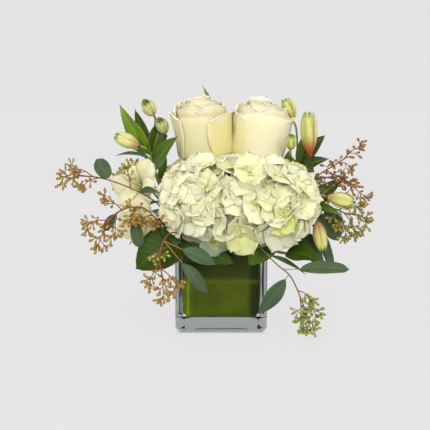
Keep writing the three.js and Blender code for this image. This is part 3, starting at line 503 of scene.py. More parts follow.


# One broad leaf bent round inside the wall. Below the waterline it is wet; the lighter colour there is
# painted light, and the darker colour above it is painted shade from the flowers.
def makeLiner():
    half = liner["deep"] / 2
    straight = half - liner["corner"]
    path = [(liner["seamX"] - liner["seamGap"] / 2, half)]
    for start in (90, 180, 270, 0):
        middle = math.radians(start + 45)
        cx = straight * math.copysign(1, math.cos(middle))
        cy = straight * math.copysign(1, math.sin(middle))
        for i in range(9):
            turn = math.radians(start + 90 * i / 8)
            path.append((cx + liner["corner"] * math.cos(turn), cy + liner["corner"] * math.sin(turn)))
    path.append((liner["seamX"] + liner["seamGap"] / 2, half))
    line = []
    for a, b in zip(path, path[1:]):
        parts = max(1, int(math.dist(a, b) / liner["step"]))
        line += [tuple(np.array(a) + (np.array(b) - np.array(a)) * k / parts) for k in range(parts)]
    line.append(path[-1])
    line = np.array(line)
    heights = np.concatenate([[liner["bottom"]], np.linspace(24, 88, 20)])
    grid = np.zeros((len(line), len(heights) + 1, 3))
    tint = np.zeros_like(grid)
    for i, (x, y) in enumerate(line):
        x -= math.copysign(liner["clear"], x) * smooth(37, 33, abs(y)) * (abs(x) > 34)
        wave = sum(deep * math.sin(i * pace) for deep, pace in liner["waves"])
        zs = np.append(heights, liner["top"] - 0.9 + 0.6 * wave)
        grid[i, :, 0] = x
        grid[i, :, 1] = y
        grid[i, :, 2] = zs
        # painted light below the waterline and painted shade above it
        wet = 1 - smooth(liner["waterline"] - 1.0, liner["waterline"] + 1.0, zs)
        colour = mix(liner["dry"], liner["wet"], wet)
        # a painted bright strip on the left front, where the glass corner refracts light
        left = smooth(-33, -35, x) * (0.3 + 0.7 * smooth(-38, -36.5, x)) * (y < 0)
        colour = mix(colour, liner["strip"], left * wet * 0.8)
        right = smooth(29.0, 31.0, x) * (y < -34)
        tint[i] = mix(colour, liner["shade"], right * 0.85 * np.ones_like(zs))
    pile = Pile()
    addSheet(pile, grid, liner["thick"], tint)
    pile.toPiece("linerLeafBand", leafLiner, "liner_leaf", "liner_leaf")


def makeWater():
    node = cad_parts["water"]
    node.data.materials.clear()
    node.data.materials.append(waterStill)


makeVase()
makeLiner()
makeWater()
print("vessel made")


stemPlan = dict(footHeight=18.8, mouthHeight=84.0, footSpread=0.72, touchGap=0.3,
                hydrangea=4.5, rose=3.0, alstroemeria=(2.2, 1.7), pedicel=1.2, woody=1.5, woodyTip=0.75,
                twig=(0.72, 0.45))
rimCrossings = ((35.5, 101.0), (45.5, 110.0))  # half size and height of the squares that outer stems cross


def overRim(mouth, route):
    x, y = mouth
    reach = max(abs(x), abs(y))
    return [(x * half / reach, y * half / reach, height) for half, height in rimCrossings] + route


def rootedPath(mouth, route):
    spread = stemPlan["footSpread"]
    foot = point(mouth[0] * spread, mouth[1] * spread, stemPlan["footHeight"])
    top = point(mouth[0], mouth[1], stemPlan["mouthHeight"])
    return smoothPath([foot + (top - foot) * share for share in (0, 0.35, 0.75, 1)] + list(route))


def outerPath(plan):
    return rootedPath(plan["mouth"], overRim(plan["mouth"], plan["route"]))


def toBloom(start, base, axis, approach=10):
    end = base - unit(axis) * stemPlan["touchGap"]
    return list(start) + [end - unit(axis) * approach, end]


outlines = dict(
    lance=lambda v: np.sin(math.pi * v**0.75),
    oval=lambda v: np.sin(math.pi * v**0.85) ** 0.8,
    round=lambda v: (4 * v * (1 - v)) ** 0.5,
    heart=lambda v: np.sin(math.pi * v**0.6) ** 0.75,
)


# A leaf from root to tip: face is where its upper side looks, arch its bow and cup the lift of its edges.
def addLeaf(pile, root, tip, face, width, tint, under, outline="lance", arch=0.0, cup=0.25,
            rows=15, cols=9, teeth=0, wave=0.0, twist=0.0, thick=0.5):
    spine = tip - root
    side = unit(np.cross(spine, face))
    top = unit(np.cross(side, spine))
    v, u = shares(rows, cols)
    half = np.maximum(width / 2 * outlines[outline](np.clip(v, 0.0005, 0.9995)), 0.5)
    half = half * (1 - smooth(0.9, 1.0, v) * 0.7)
    if teeth:
        half = half * (1 + 0.035 * (np.abs(np.sin(v * teeth * math.pi)) - 0.5) * smooth(0.05, 0.2, v))
    lift = cup * half * np.abs(u) ** 1.3 + wave * half * np.sin(v * 9 + np.sign(u) * 1.1) * u**2 * 0.3
    turn = twist * (v - 0.2)
    middle = root + spine * v[..., None] + top * (arch * np.sin(math.pi * v))[..., None]
    across = (side * np.cos(turn)[..., None] + top * np.sin(turn)[..., None]) * (u * half)[..., None]
    grid = (middle + across + top * lift[..., None])[:, ::-1]  # so that the sheet's own top looks up
    addSheet(pile, grid, thick, tint, under)


# The grey-green among these tints is painted shade, for the low and the overhanging florets.
hydrangeaLook = dict(
    petal=20.5, petalWide=0.62, cup=0.10, tilt=0.24, thick=0.4, eye=1.8, square=3.0,
    coreInset=(12, 12, 13), levels=(0.5, 2.6, 4.6), sunk=4.0, jitter=0.045, limeOdds=(0.06, 0.14),
    **tintsOf(cream="#e3e0c0", warm="#deda9f", cool="#8f9982", lime="#c3c864", claw="#dbd98c",
              eyeTint="#a7ad4e", core="#dcd994", stalk="#6d8a3a"),
)
hydrangeas = [
    dict(name="hydrangea_front", mouth=(5, -20), route=[(8, -28, 98)], base=(9, -33, 110), seed=11,
         reach=(77, 41.5, 46), middle=(10, -16, 33), count=180,
         hanging=[((0, -68, 126), (0.05, -0.95, -0.2)), ((-26, -62, 117), (-0.2, -0.8, -0.5)),
                  ((28, -64, 115), (0.2, -0.8, -0.5)), ((-7, -68, 104), (0.0, -0.9, -0.4)),
                  ((62, -54, 120), (0.4, -0.8, -0.4)), ((14, -62, 107), (0.0, -0.85, -0.4)),
                  ((46, -60, 114), (0.2, -0.9, -0.3))],
         leftOff=lambda p, way: (way[2] < -0.8 or p[1] > 22 or (p[2] < 14 and p[1] > -34)
                                 or p[2] < -0.35 * p[0] - 9)),
    dict(name="hydrangea_back", mouth=(3, 22), route=[(5, 30, 98)], base=(5, 34, 110), seed=23,
         reach=(60, 34, 43), middle=(2, 26, 32), count=110,
         hanging=[((-14, 62, 112), (-0.2, 0.9, -0.4)), ((22, 62, 112), (0.2, 0.9, -0.4))],
         leftOff=lambda p, way: way[2] < -0.8 or p[1] < -10 or (p[2] < 14 and p[1] < 34)),
]


def addFloret(pile, centre, frameTurn, size, draw, tint, claw):
    look = hydrangeaLook
    v, u = shares(7, 7, 0.02)
    gape = draw.uniform(0.04, 0.42)
    for k in range(4):
        azimuth = math.pi / 2 * k + draw.normal(0, 0.09)
        long = size * draw.uniform(0.9, 1.08)
        wide = look["petalWide"] * long * draw.uniform(0.92, 1.12)
        half = wide * np.sin(math.pi * np.clip(v, 0, 0.992) ** 0.72) ** 0.55
        half = half * (1 + 0.07 * np.sin(v * 11 + draw.uniform(0, 6)) * v)
        rise = gape + draw.normal(0, 0.17)
        roll = draw.uniform(-0.2, 0.4)
        x = long * v * math.cos(rise) + 0 * u
        z = long * v * math.sin(rise) - roll * long * v**2.4 * 0.35
        z = z + look["cup"] * wide * u**2 * v + 0.06 * long * np.sin(u * 3.6 + draw.uniform(0, 6)) * v**2
        z = z + 0.8 * (k % 2)
        x = x - 0.12 * long * u**2 * v**2 - 0.04 * long * np.cos(u * 9 + draw.uniform(0, 6)) * v**3
        y = u * half
        grid = np.stack([x * math.cos(azimuth) - y * math.sin(azimuth),
                         x * math.sin(azimuth) + y * math.cos(azimuth), z], -1)
        grid = grid @ frameTurn.T + centre
        shade = mix(claw, tint * draw.uniform(0.95, 1.03), smooth(0.0, 0.42, v[:, 0]))[:, None, :]
        addSheet(pile, grid, look["thick"], np.broadcast_to(shade, grid.shape))
    eye = look["eye"]
    profile = [(0.3, -1.5), (eye, -0.6), (eye * 1.05, 0.8), (eye * 0.6, 2.0), (0.2, 2.4)]
    addTurned(pile, profile, 7, centre, frameTurn[:, 2], look["eyeTint"])


def makeHydrangea(plan):
    look = hydrangeaLook
    draw = np.random.default_rng(plan["seed"])
    base, reach, middle = (point(*plan[key]) for key in ("base", "reach", "middle"))
    pile = Pile()
    core = reach - point(*look["coreInset"])
    steps = 14
    ball = Pile()
    addTurned(ball, [(max(0.02, math.sin(math.pi * i / steps)), -math.cos(math.pi * i / steps))
                     for i in range(steps + 1)], 24, point(0, 0, 0), up, point(1, 1, 1))
    rough = 1 + 0.06 * np.sin(ball.points[0] * 9).sum(axis=1, keepdims=True)
    pile.add(ball.points[0] * rough * core + middle + point(0, 0, 3) + base, ball.faces, look["core"])
    made = 0
    for i in range(plan["count"]):
        height = 1 - 2 * (i + 0.5) / plan["count"]
        ring = math.sqrt(1 - height * height)
        turn = i * goldenTurn
        way = point(ring * math.cos(turn), ring * math.sin(turn), height)
        way = unit(way + draw.normal(0, look["jitter"], 3))
        way = way / (np.abs(way) ** look["square"]).sum() ** (1 / look["square"])  # squarer than a ball
        spot = way * reach + middle
        if plan["leftOff"](spot, way):
            continue
        depth = look["levels"][int(draw.integers(0, 3))] + look["sunk"]
        centre = way * (reach - depth) + middle + base
        lean = unit(unit(way / reach) + draw.normal(0, look["tilt"], 3))
        # lower florets are painted darker toward the grey-green, as painted shade
        low = float(smooth(30, -6, spot[2]))
        tint = mix(look["cream"], look["warm"], draw.uniform(0, 0.7))
        tint = mix(tint, look["cool"], low * draw.uniform(0.4, 1.0))
        if draw.uniform() < look["limeOdds"][0] + look["limeOdds"][1] * low:
            tint = mix(tint, look["lime"], draw.uniform(0.3, 0.8))
        claw = mix(tint, look["claw"], 0.8)
        turned = upright(lean, draw.uniform(0, math.pi))
        addFloret(pile, centre, turned, look["petal"] * draw.uniform(0.82, 1.12), draw, tint, claw)
        made += 1
    for centre, way in plan["hanging"]:  # shaded florets over the rim
        tint = mix(look["cream"], look["cool"], draw.uniform(0.6, 1.0))
        turned = upright(point(*way), draw.uniform(0, math.pi))
        addFloret(pile, point(*centre), turned, look["petal"] * 0.92, draw, tint, look["lime"])
    pile.toPiece(plan["name"] + "_florets", petalHydrangea, "hydrangea_florets", plan["name"] + "_head")
    stem = Pile()
    path = rootedPath(plan["mouth"], toBloom(plan["route"], base, up, 5))
    addTube(stem, path, stemPlan["hydrangea"], 12, look["stalk"])
    stem.toPiece(plan["name"] + "_stalk", skinStem, "green_stem", plan["name"] + "_stem")
    print(plan["name"], made, "florets")


for plan in hydrangeas:
    makeHydrangea(plan)


# The gold tint is painted shade for the creases between the petals and between the two roses.
roseLook = dict(root=4.0, foot=-4.0, belly=0.24, rollFrom=0.86, rollTurn=1.7, thick=0.5, edgeWave=0.006,
                flare=0.2, sepals=5, sepalWide=6, sepalReach=17, sepalDrop=12,
                **tintsOf(deep="#e4d680", gold="#e0cf6c", footTint="#d8d898", heart="#e3cf78",
                          stalk="#5f7d2a", sepal="#587326", sepalUnder="#8a9f60"))
# count, radius, height, half width, roll and lean of the inner petals
roseTiers = ((4, 22.5, 67, 1.05, 0.9, -2.5), (3, 18.5, 70, 1.3, 0.7, -4.5), (3, 14.0, 71, 1.4, 0.6, -5.0),
             (3, 9.5, 70, 1.4, 0.5, -4.0), (3, 5.8, 69, 1.5, 0.4, -2.5))
# outer petals: azimuth, height, half width, lean, roll, painted crease shade, radius, full and side curl
# second petals: azimuth, height, half width
# Each rose's rim tint is a painted highlight on the rolled petal edges.
roses = [
    dict(name="rose_left", mouth=(-12, 3), route=[(-14, 6, 120), (-16, 7, 150)], base=(-18.5, 4, 181),
         axis=(-0.08, -0.05, 1), seed=5, **tintsOf(body="#ddd4a2", rim="#efe8cc"),
         outer=[(-108, 55, 0.95, 0.0, 1.6, 0, 30.5, 0.5, 1.2),
                (-24, 55, 0.95, 1.5, 3.4, 0.2, 33.5, 0.9, 2.0),
                (58, 58, 0.8, 3, 3, 0, 28.5, 0, 1.2), (122, 57, 0.8, 3, 3, 0, 28.5, 0, 1.2),
                (190, 59, 0.75, 2.5, 2.4, 0.0, 31.0, 0.5, 1.2)],
         second=[(-58, 62, 0.8), (14, 62, 0.75), (86, 64, 0.8), (158, 62, 0.75), (232, 61, 0.8)]),
    dict(name="rose_right", mouth=(16, 2), route=[(22, 6, 120), (30, 8, 150)], base=(40, 6, 179),
         axis=(0.08, -0.04, 1), seed=8, **tintsOf(body="#ebe2b6", rim="#f1ebd0"),
         outer=[(-90, 59, 1.25, 0.0, 1.2, 0, 32.5, 0.7, 2.4), (-4, 53, 0.80, 6.0, 2.4, 0, 30.5, 0.2, 1.2),
                (52, 57, 0.8, 4, 3, 0, 28.5, 0, 1.2), (116, 58, 0.8, 3, 3, 0, 28.5, 0, 1.2),
                (194, 57, 0.85, 1.0, 1.6, 0.2, 31.0, 1.0, 0.0)],
         second=[(-62, 62, 0.85), (8, 61, 0.75), (80, 63, 0.8), (152, 62, 0.75), (226, 62, 0.8)]),
]


# One petal about the bud: full makes it a straight cup, roll turns its rim out, crown drops its corners.
def addRosePetal(pile, plan, turnBack, base, azimuth, radius, height, half, lean, roll, draw, gold=0.0,
                 full=0.0, crown=3.0, sideCurl=1.2, tuck=1.6):
    look = roseLook
    v, u = shares(18, 15)
    t = np.minimum(1, v / look["rollFrom"])
    belly = np.sin(math.pi / 2 * np.minimum(1, t / look["belly"]))
    flare = look["flare"] * (1 - full)
    r = look["root"] + (radius * (1 - flare) - look["root"]) * belly + flare * radius * t
    r = r + lean * (1 - 0.7 * u**2) * np.maximum(0, (t - 0.45) / 0.55) ** 2
    z = look["foot"] + (height - roll - look["foot"]) * t
    part = np.maximum(0, (v - look["rollFrom"]) / (1 - look["rollFrom"]))
    rollHere = roll * (1 - 0.25 * u**2)
    turn = look["rollTurn"] * part
    r = r + rollHere * (1 - np.cos(turn)) + tuck * u * t + sideCurl * np.abs(u) ** 3 * t**3
    z = z + rollHere * np.sin(turn) - crown * np.abs(u) ** 2.6 * t**2
    phase = draw.uniform(0, 6)
    wave = look["edgeWave"] * radius
    r = r + 0.5 * np.sin(2.2 * u * math.pi + phase) * t**3 + wave * np.sin(5 * u * math.pi + phase) * part
    z = z + 0.6 * np.sin(1.6 * u * math.pi + phase) * t**3 + wave * np.sin(4 * u * math.pi + phase) * part
    foot = 0.3 + 0.4 * full
    spread = half * (foot + (1 - foot) * np.sin(math.pi / 2 * np.minimum(1, t / 0.75)))
    spread = spread * (1 - 0.16 * part)
    angle = math.radians(azimuth) + u * spread
    r = np.maximum(r, 1.0)
    grid = roundGrid(r, angle, z, turnBack, base)
    inside = 1 - min(1.0, radius / 26)
    colour = mix(look["footTint"], plan["body"], smooth(0.0, 0.3, v[:, 0]))
    colour = mix(colour, look["deep"], 0.65 * inside * (1 - smooth(0.6, 0.95, v[:, 0])))
    # painted highlight: the rim is lighter where the rolled edge catches the light
    colour = mix(colour, plan["rim"], smooth(0.75, 0.95, v[:, 0]))
    # painted shade: a warm gold in the creases, strongest at the petal's foot and fading toward the rim
    colour = mix(colour, look["gold"], min(1, 2 * gold) * (1 - 0.8 * smooth(0.4, 1.0, v[:, 0])))
    addSheet(pile, grid, look["thick"], np.broadcast_to(colour[:, None, :], grid.shape))


def makeRose(plan):
    draw = np.random.default_rng(plan["seed"])
    base = point(*plan["base"])
    axis = unit(point(*plan["axis"]))
    turnBack = upright(axis)
    pile = Pile()
    for azimuth, height, half, lean, roll, gold, radius, full, curl in plan["outer"]:
        addRosePetal(pile, plan, turnBack, base, azimuth, radius, height, half, lean, roll, draw, gold,
                     full, crown=6.0, sideCurl=curl)
    for azimuth, height, half in plan["second"]:
        addRosePetal(pile, plan, turnBack, base, azimuth, 26.0, height + 2, half, 0.0, 1.6, draw, crown=5.0)
    for count, radius, height, half, roll, lean in roseTiers:
        start = draw.uniform(0, 360)
        for i in range(count):
            addRosePetal(pile, plan, turnBack, base, start + 360 * i / count + draw.normal(0, 5), radius,
                         height + draw.normal(0, 1.0), half, lean, roll, draw, sideCurl=0.2, crown=2.5,
                         tuck=1.4)
    heart = [(1, 0), (5, 1), (8, 7), (10, 20), (3.5, 52), (1, 58)]
    addTurned(pile, heart, 10, base, axis, roseLook["heart"])
    pile.toPiece(plan["name"] + "_petals", petalRose, "rose_petals", plan["name"] + "_bloom")
    stem = Pile()
    path = rootedPath(plan["mouth"], toBloom(plan["route"], base, axis))
    addTube(stem, path, stemPlan["rose"], 10, roseLook["stalk"])
    collar = base - axis * stemPlan["touchGap"]
    hip = [(3, -9), (4.4, -7.5), (5, -5), (4.8, -2), (4.5, 0)]
    addTurned(stem, hip, 10, collar, axis, roseLook["stalk"])
    root = collar - axis * 4
    for i in range(roseLook["sepals"]):
        turn = 2 * math.pi * i / roseLook["sepals"] + 0.3
        out = point(math.cos(turn), math.sin(turn), 0) * roseLook["sepalReach"]
        tip = root + out - axis * roseLook["sepalDrop"]
        addLeaf(stem, root, tip, up, roseLook["sepalWide"], roseLook["sepal"], roseLook["sepalUnder"],
                arch=3)
    stem.toPiece(plan["name"] + "_stalk", skinStem, "green_stem", plan["name"] + "_stem")


for plan in roses:
    makeRose(plan)
print("roses made")


tepalLook = tintsOf(cream="#cbc57c", pale="#dfdbb2", throat="#b4bd4a", keel="#7d8f2a", tip="#5f8220",
                    flush="#b3402a", anther="#b9a060", filament="#e9e6c0", ovary="#a3b03c")
leafLook = tintsOf(bright="#5a7810", mid="#3f5c0c", dark="#283a0b", under="#6a8044", stalk="#5f7c24",
                   pedicel="#8a5a34")


def addTepal(pile, turnBack, base, azimuth, radii, heights, spreads, tint, crown, ripple=0.0, draw=None):
    v, u = shares(len(radii), 9)
    angle = azimuth + u * np.asarray(spreads)[:, None]
    r = np.maximum(0.5, np.asarray(radii)[:, None] + 0 * u)
    z = np.asarray(heights)[:, None] - crown * u**2 * v**2
    if ripple:
        z = z + ripple * np.sin(u * 3.5 + draw.uniform(0, 6)) * v**2
    grid = roundGrid(r, angle, z, turnBack, base)
    addSheet(pile, grid, 0.5, np.broadcast_to(tint, grid.shape))


# Six closed tepals: flush reddens the foot, loose opens the tips, green marks the keels and light pales
# the body.
def addBud(pile, base, axis, length, radius, flush=0.35, loose=0.3, green=0.52, light=0.0):
    turnBack = upright(axis)
    look = tepalLook
    rows = 15
    v = np.linspace(0, 1, rows)
    belly = np.sin(math.pi * np.clip(v, 0.001, 0.999) ** 0.8) ** 0.8
    cup = np.sin(math.pi / 2 * np.minimum(1, v / 0.55)) * (1 - 0.35 * smooth(0.8, 1.0, v))
    u = np.abs(np.linspace(-1, 1, 9))[None, :]
    keel = smooth(0.42, 0.05, u)
    for inner, spin, size in ((True, math.pi / 3, 0.84), (False, 0.0, 1.0)):
        for i in range(3):
            share = loose * (0.6 if inner else 1.0)
            radii = 0.9 + (radius * size - 0.9) * (belly * (1 - share) + cup * share) + 0.14 * radius * v
            heights = 0.03 * length + 0.97 * length * v * (1.0 if inner else 0.985)
            spreads = (0.9 if inner else 0.98) * (1 - (0.72 - 0.4 * share) * v**3)
            body = mix(look["cream"], look["pale"], light)
            tint = mix(body, look["keel"], keel * (green - 0.1 * v[:, None]))
            tint = mix(tint, look["tip"], smooth(0.84, 1.0, v)[:, None] * (1 - 0.5 * share) + 0 * u)
            streak = 0.45 + 0.55 * smooth(0.25, 0.7, np.abs(np.sin(u * 5)))
            tint = mix(tint, look["flush"], smooth(0.55, 0.14, v)[:, None] * flush * streak)
            addTepal(pile, turnBack, base, 2 * math.pi * i / 3 + spin, radii, heights, spreads, tint,
                     crown=0.05 * length)
    addTurned(pile, [(1.2, 0), (2.4, 1.5), (2.6, 4), (1.5, 6)], 8, base, axis, leafLook["pedicel"])


def addOpenFlower(pile, draw, base, axis, spin, size):
    turnBack = upright(axis, spin)
    look = tepalLook
    v = np.linspace(0, 1, 15)
    for turn, width, reach, rise in ((math.pi / 3, 0.40, 0.86, 0.85), (0.0, 0.62, 1.0, 0.7)):
        for i in range(3):
            radii = 2.4 + size * reach * (0.15 * v + 0.85 * v * v)
            heights = 1 + size * rise * np.sin(1.7 * v)
            half = width * size * (0.25 + 0.75 * np.sin(math.pi * np.minimum(1, v / 0.75) / 2))
            half = half * np.sqrt(np.clip(1 - smooth(0.72, 1.04, v) ** 2, 0.03, 1))
            spreads = np.minimum(1, half / (2.4 + size * reach * v))
            tint = mix(look["throat"], look["pale"], smooth(0.05, 0.5, v))[:, None, :]
            addTepal(pile, turnBack, base, turn + 2 * math.pi * i / 3, radii, heights, spreads, tint,
                     crown=0.10 * size, ripple=0.05 * size, draw=draw)
    for i in range(6):
        lean = 2 * math.pi * i / 6 + 0.3
        tip = point(5.5 * math.cos(lean), 5.5 * math.sin(lean), 0.8 * size)
        path = smoothPath([point(0, 0, 3), tip * point(0.4, 0.4, 0.5), tip]) @ turnBack.T + base
        addTube(pile, path, 0.35, 5, look["filament"])
        end = path[-1]
        addTurned(pile, [(0.3, -1.2), (0.8, -0.6), (0.8, 0.6), (0.3, 1.2)], 6, end, axis, look["anther"])
    addTurned(pile, [(2, 0), (2.8, 2), (2.8, 8), (1.5, 10)], 8, base, axis, look["ovary"])


def seat(base, tip, **size):
    return dict(base=point(*base), axis=point(*tip) - point(*base), **size)


# leaves: share of the stem, tip, width, where the face looks, bow and colour
alstroemerias = [
    dict(name="left", mouth=(-35, 6), route=[(-62, 8, 140), (-74, 4, 172), (-78, 2, 192)],
         leaves=[(0.98, (-111, 0, 244.5), 19, (-0.5, -0.8, 0.3), 4, "bright"),
                 (0.99, (-94, -6, 240), 14, (0.3, -0.9, 0.2), -3, "dark"),
                 (0.98, (-67, 12, 228), 23, (0.5, -0.8, 0.2), 3, "dark"),
                 (0.90, (-46, -38, 213), 24, (-0.2, -0.9, 0.5), 3, "mid"),
                 (0.94, (-116, -10, 189), 9, (0, -0.4, 0.9), 6, "mid"),
                 (0.85, (-106, 24, 196), 14, (-0.2, 0.2, 1), 6, "mid"),
                 (0.82, (-70, 46, 196), 15, (0.2, 0.7, 0.8), 5, "mid")],
         buds=[seat((-88, -12, 200), (-114, -18, 211), length=30, radius=7.5, loose=0.55, flush=0.55,
                    green=0.3, light=0.25),
               seat((-74, 2, 232), (-81, -17, 247), length=28, radius=7, loose=0.6, green=0.3, light=0.25),
               seat((-62, 13, 211), (-67, -8, 229), length=27, radius=6.5, loose=0.6, green=0.3,
                    light=0.25)]),
    dict(name="side", mouth=(-35, -7), route=[(-62, -4, 132)],
         leaves=[(0.99, (-84, 20, 128), 12, (0, 0.3, 1), 5, "mid"),
                 (0.90, (-92, 12, 100), 13, (-0.3, 0.2, 1), 7, "mid")],
         blooms=[seat((-84, 6, 152), (-92, -8, 156), size=30, spin=0.5),
                 seat((-82, -14, 121), (-88, -30, 118), size=27, spin=1.1)]),
    dict(name="right", mouth=(35, 6), route=[(66, 10, 140), (80, 6, 168), (86, 2, 180)],
         leaves=[(0.98, (116, 16, 209), 18, (-0.3, -0.9, 0.4), 4, "dark"),
                 (0.90, (118, -12, 186), 23, (-0.2, -0.7, 0.7), 5, "dark"),
                 (0.95, (100, -34, 174), 29, (-0.4, -0.5, 0.8), 4, "dark"),
                 (0.86, (108, 30, 190), 14, (-0.2, 0.2, 1), 6, "mid"),
                 (0.84, (80, 48, 190), 15, (0, 0.6, 0.8), 5, "mid"),
                 (0.97, (104, 16, 226), 12, (-0.6, -0.6, 0.4), 3, "mid")],
         buds=[seat((97, -8, 187), (94, -10, 237), length=50, radius=8.5, flush=1.0, loose=0.75,
                    green=0.66),
               seat((82, 36, 222), (71, 36, 248), length=28, radius=7.5, loose=0.6, green=0.9),
               seat((74, -32, 198), (74, -42, 214), length=20, radius=5.5, loose=0.5, green=0.9)]),
    dict(name="low", mouth=(33, -18), route=[(78, -22, 118), (100, -30, 138)],
         leaves=[(0.96, (134, -18, 166), 20, (-0.3, -0.8, 0.6), 4, "dark"),
                 (0.90, (118, -14, 108), 20, (0.2, -0.6, 0.7), 6, "dark"),
                 (0.98, (128, -52, 130), 12, (-0.2, -0.6, 0.8), 4, "mid")],
         buds=[seat((112, -42, 149), (138, -46, 143), length=30, radius=8, loose=0.9),
               # This hanging bud's stronger flush is partly its own red foot and partly painted shade, as it
               # hangs under the leaves.
               seat((102, -46, 124), (108, -52, 94), length=34, radius=7, flush=0.6)]),
    dict(name="back", mouth=(3, 8), inner=True,
         route=[(4, 9, 120), (6, 9, 160), (10, 26, 190), (10, 36, 200)],
         leaves=[(0.99, (-21, 40, 263), 10, (-0.2, 0.8, 0.5), 3, "dark"),
                 (0.98, (52, 44, 250), 15, (0.2, 0.8, 0.5), 3, "mid"),
                 (0.97, (-46, 66, 186), 15, (0, -0.3, 1), 6, "mid"),
                 (0.96, (62, 64, 186), 15, (0, -0.3, 1), 6, "mid")],
         blooms=[seat((-8, 56, 208), (-22, 78, 222), size=23, spin=0.2),
                 seat((30, 56, 206), (42, 78, 220), size=23, spin=0.9)]),
]


def makeAlstroemeria(plan, seed):
    draw = np.random.default_rng(seed)
    look = leafLook
    name = "alstroemeria_" + plan["name"]
    path = rootedPath(plan["mouth"], plan["route"]) if plan.get("inner") else outerPath(plan)
    pile = Pile()
    addTube(pile, path, np.linspace(*stemPlan["alstroemeria"], len(path)), 9, look["stalk"])
    for share, tip, width, face, arch, shade in plan["leaves"]:
        root, _ = along(path, share)
        tint = look[shade] * draw.uniform(0.92, 1.08)
        addLeaf(pile, root, point(*tip), point(*face), width, tint, look["under"], arch=arch,
                rows=19, cols=9, wave=0.35, twist=draw.normal(0, 0.1))
    end, _ = along(path, 0.985)
    seats = plan.get("buds", []) + plan.get("blooms", [])
    for place in seats:
        pedicel = smoothPath(toBloom([end], place["base"], place["axis"], 6))
        tints = mix(look["stalk"], look["pedicel"], np.linspace(0, 0.9, len(pedicel)))
        addTube(pile, pedicel, stemPlan["pedicel"], 7, tints)
    pile.toPiece(name + "_greens", leafGlossy, "alstroemeria_leaves", name + "_stem")
    for i, place in enumerate(plan.get("buds", [])):
        bud = Pile()
        addBud(bud, **place)
        bud.toPiece(f"{name}_closed_{i + 1}", petalAlstroemeria, "alstroemeria_buds", f"{name}_bud_{i + 1}")
    for i, place in enumerate(plan.get("blooms", [])):
        flower = Pile()
        addOpenFlower(flower, draw, **place)
        flower.toPiece(f"{name}_open_{i + 1}", petalAlstroemeria, "alstroemeria_tepals",
                       f"{name}_bloom_{i + 1}")


firstSeeds = dict(alstroemeria=40, salal=80)
for number, plan in enumerate(alstroemerias):
    makeAlstroemeria(plan, firstSeeds["alstroemeria"] + number)
print("alstroemeria made")


barkLook = tintsOf(young="#4c5a2a", red="#7d3a22", brown="#6e5434")
seedLook = {name: (linear(body), linear(cap)) for name, body, cap in (
    ("orange", "#a4903c", "#80451f"), ("rust", "#94783a", "#71331a"),
    ("olive", "#95943c", "#744c26"), ("green", "#9ba548", "#6d5f30"))}
gumLeaf = tintsOf(tint="#3d5130", under="#6d8063", dark="#2c3b25", red="#a85a48", brown="#77733f")
seedCase = dict(length=5.8, radius=1.6, stalk=3.8, spacing=4.6, fork=8.5, lean=0.75, loneLean=0.1)

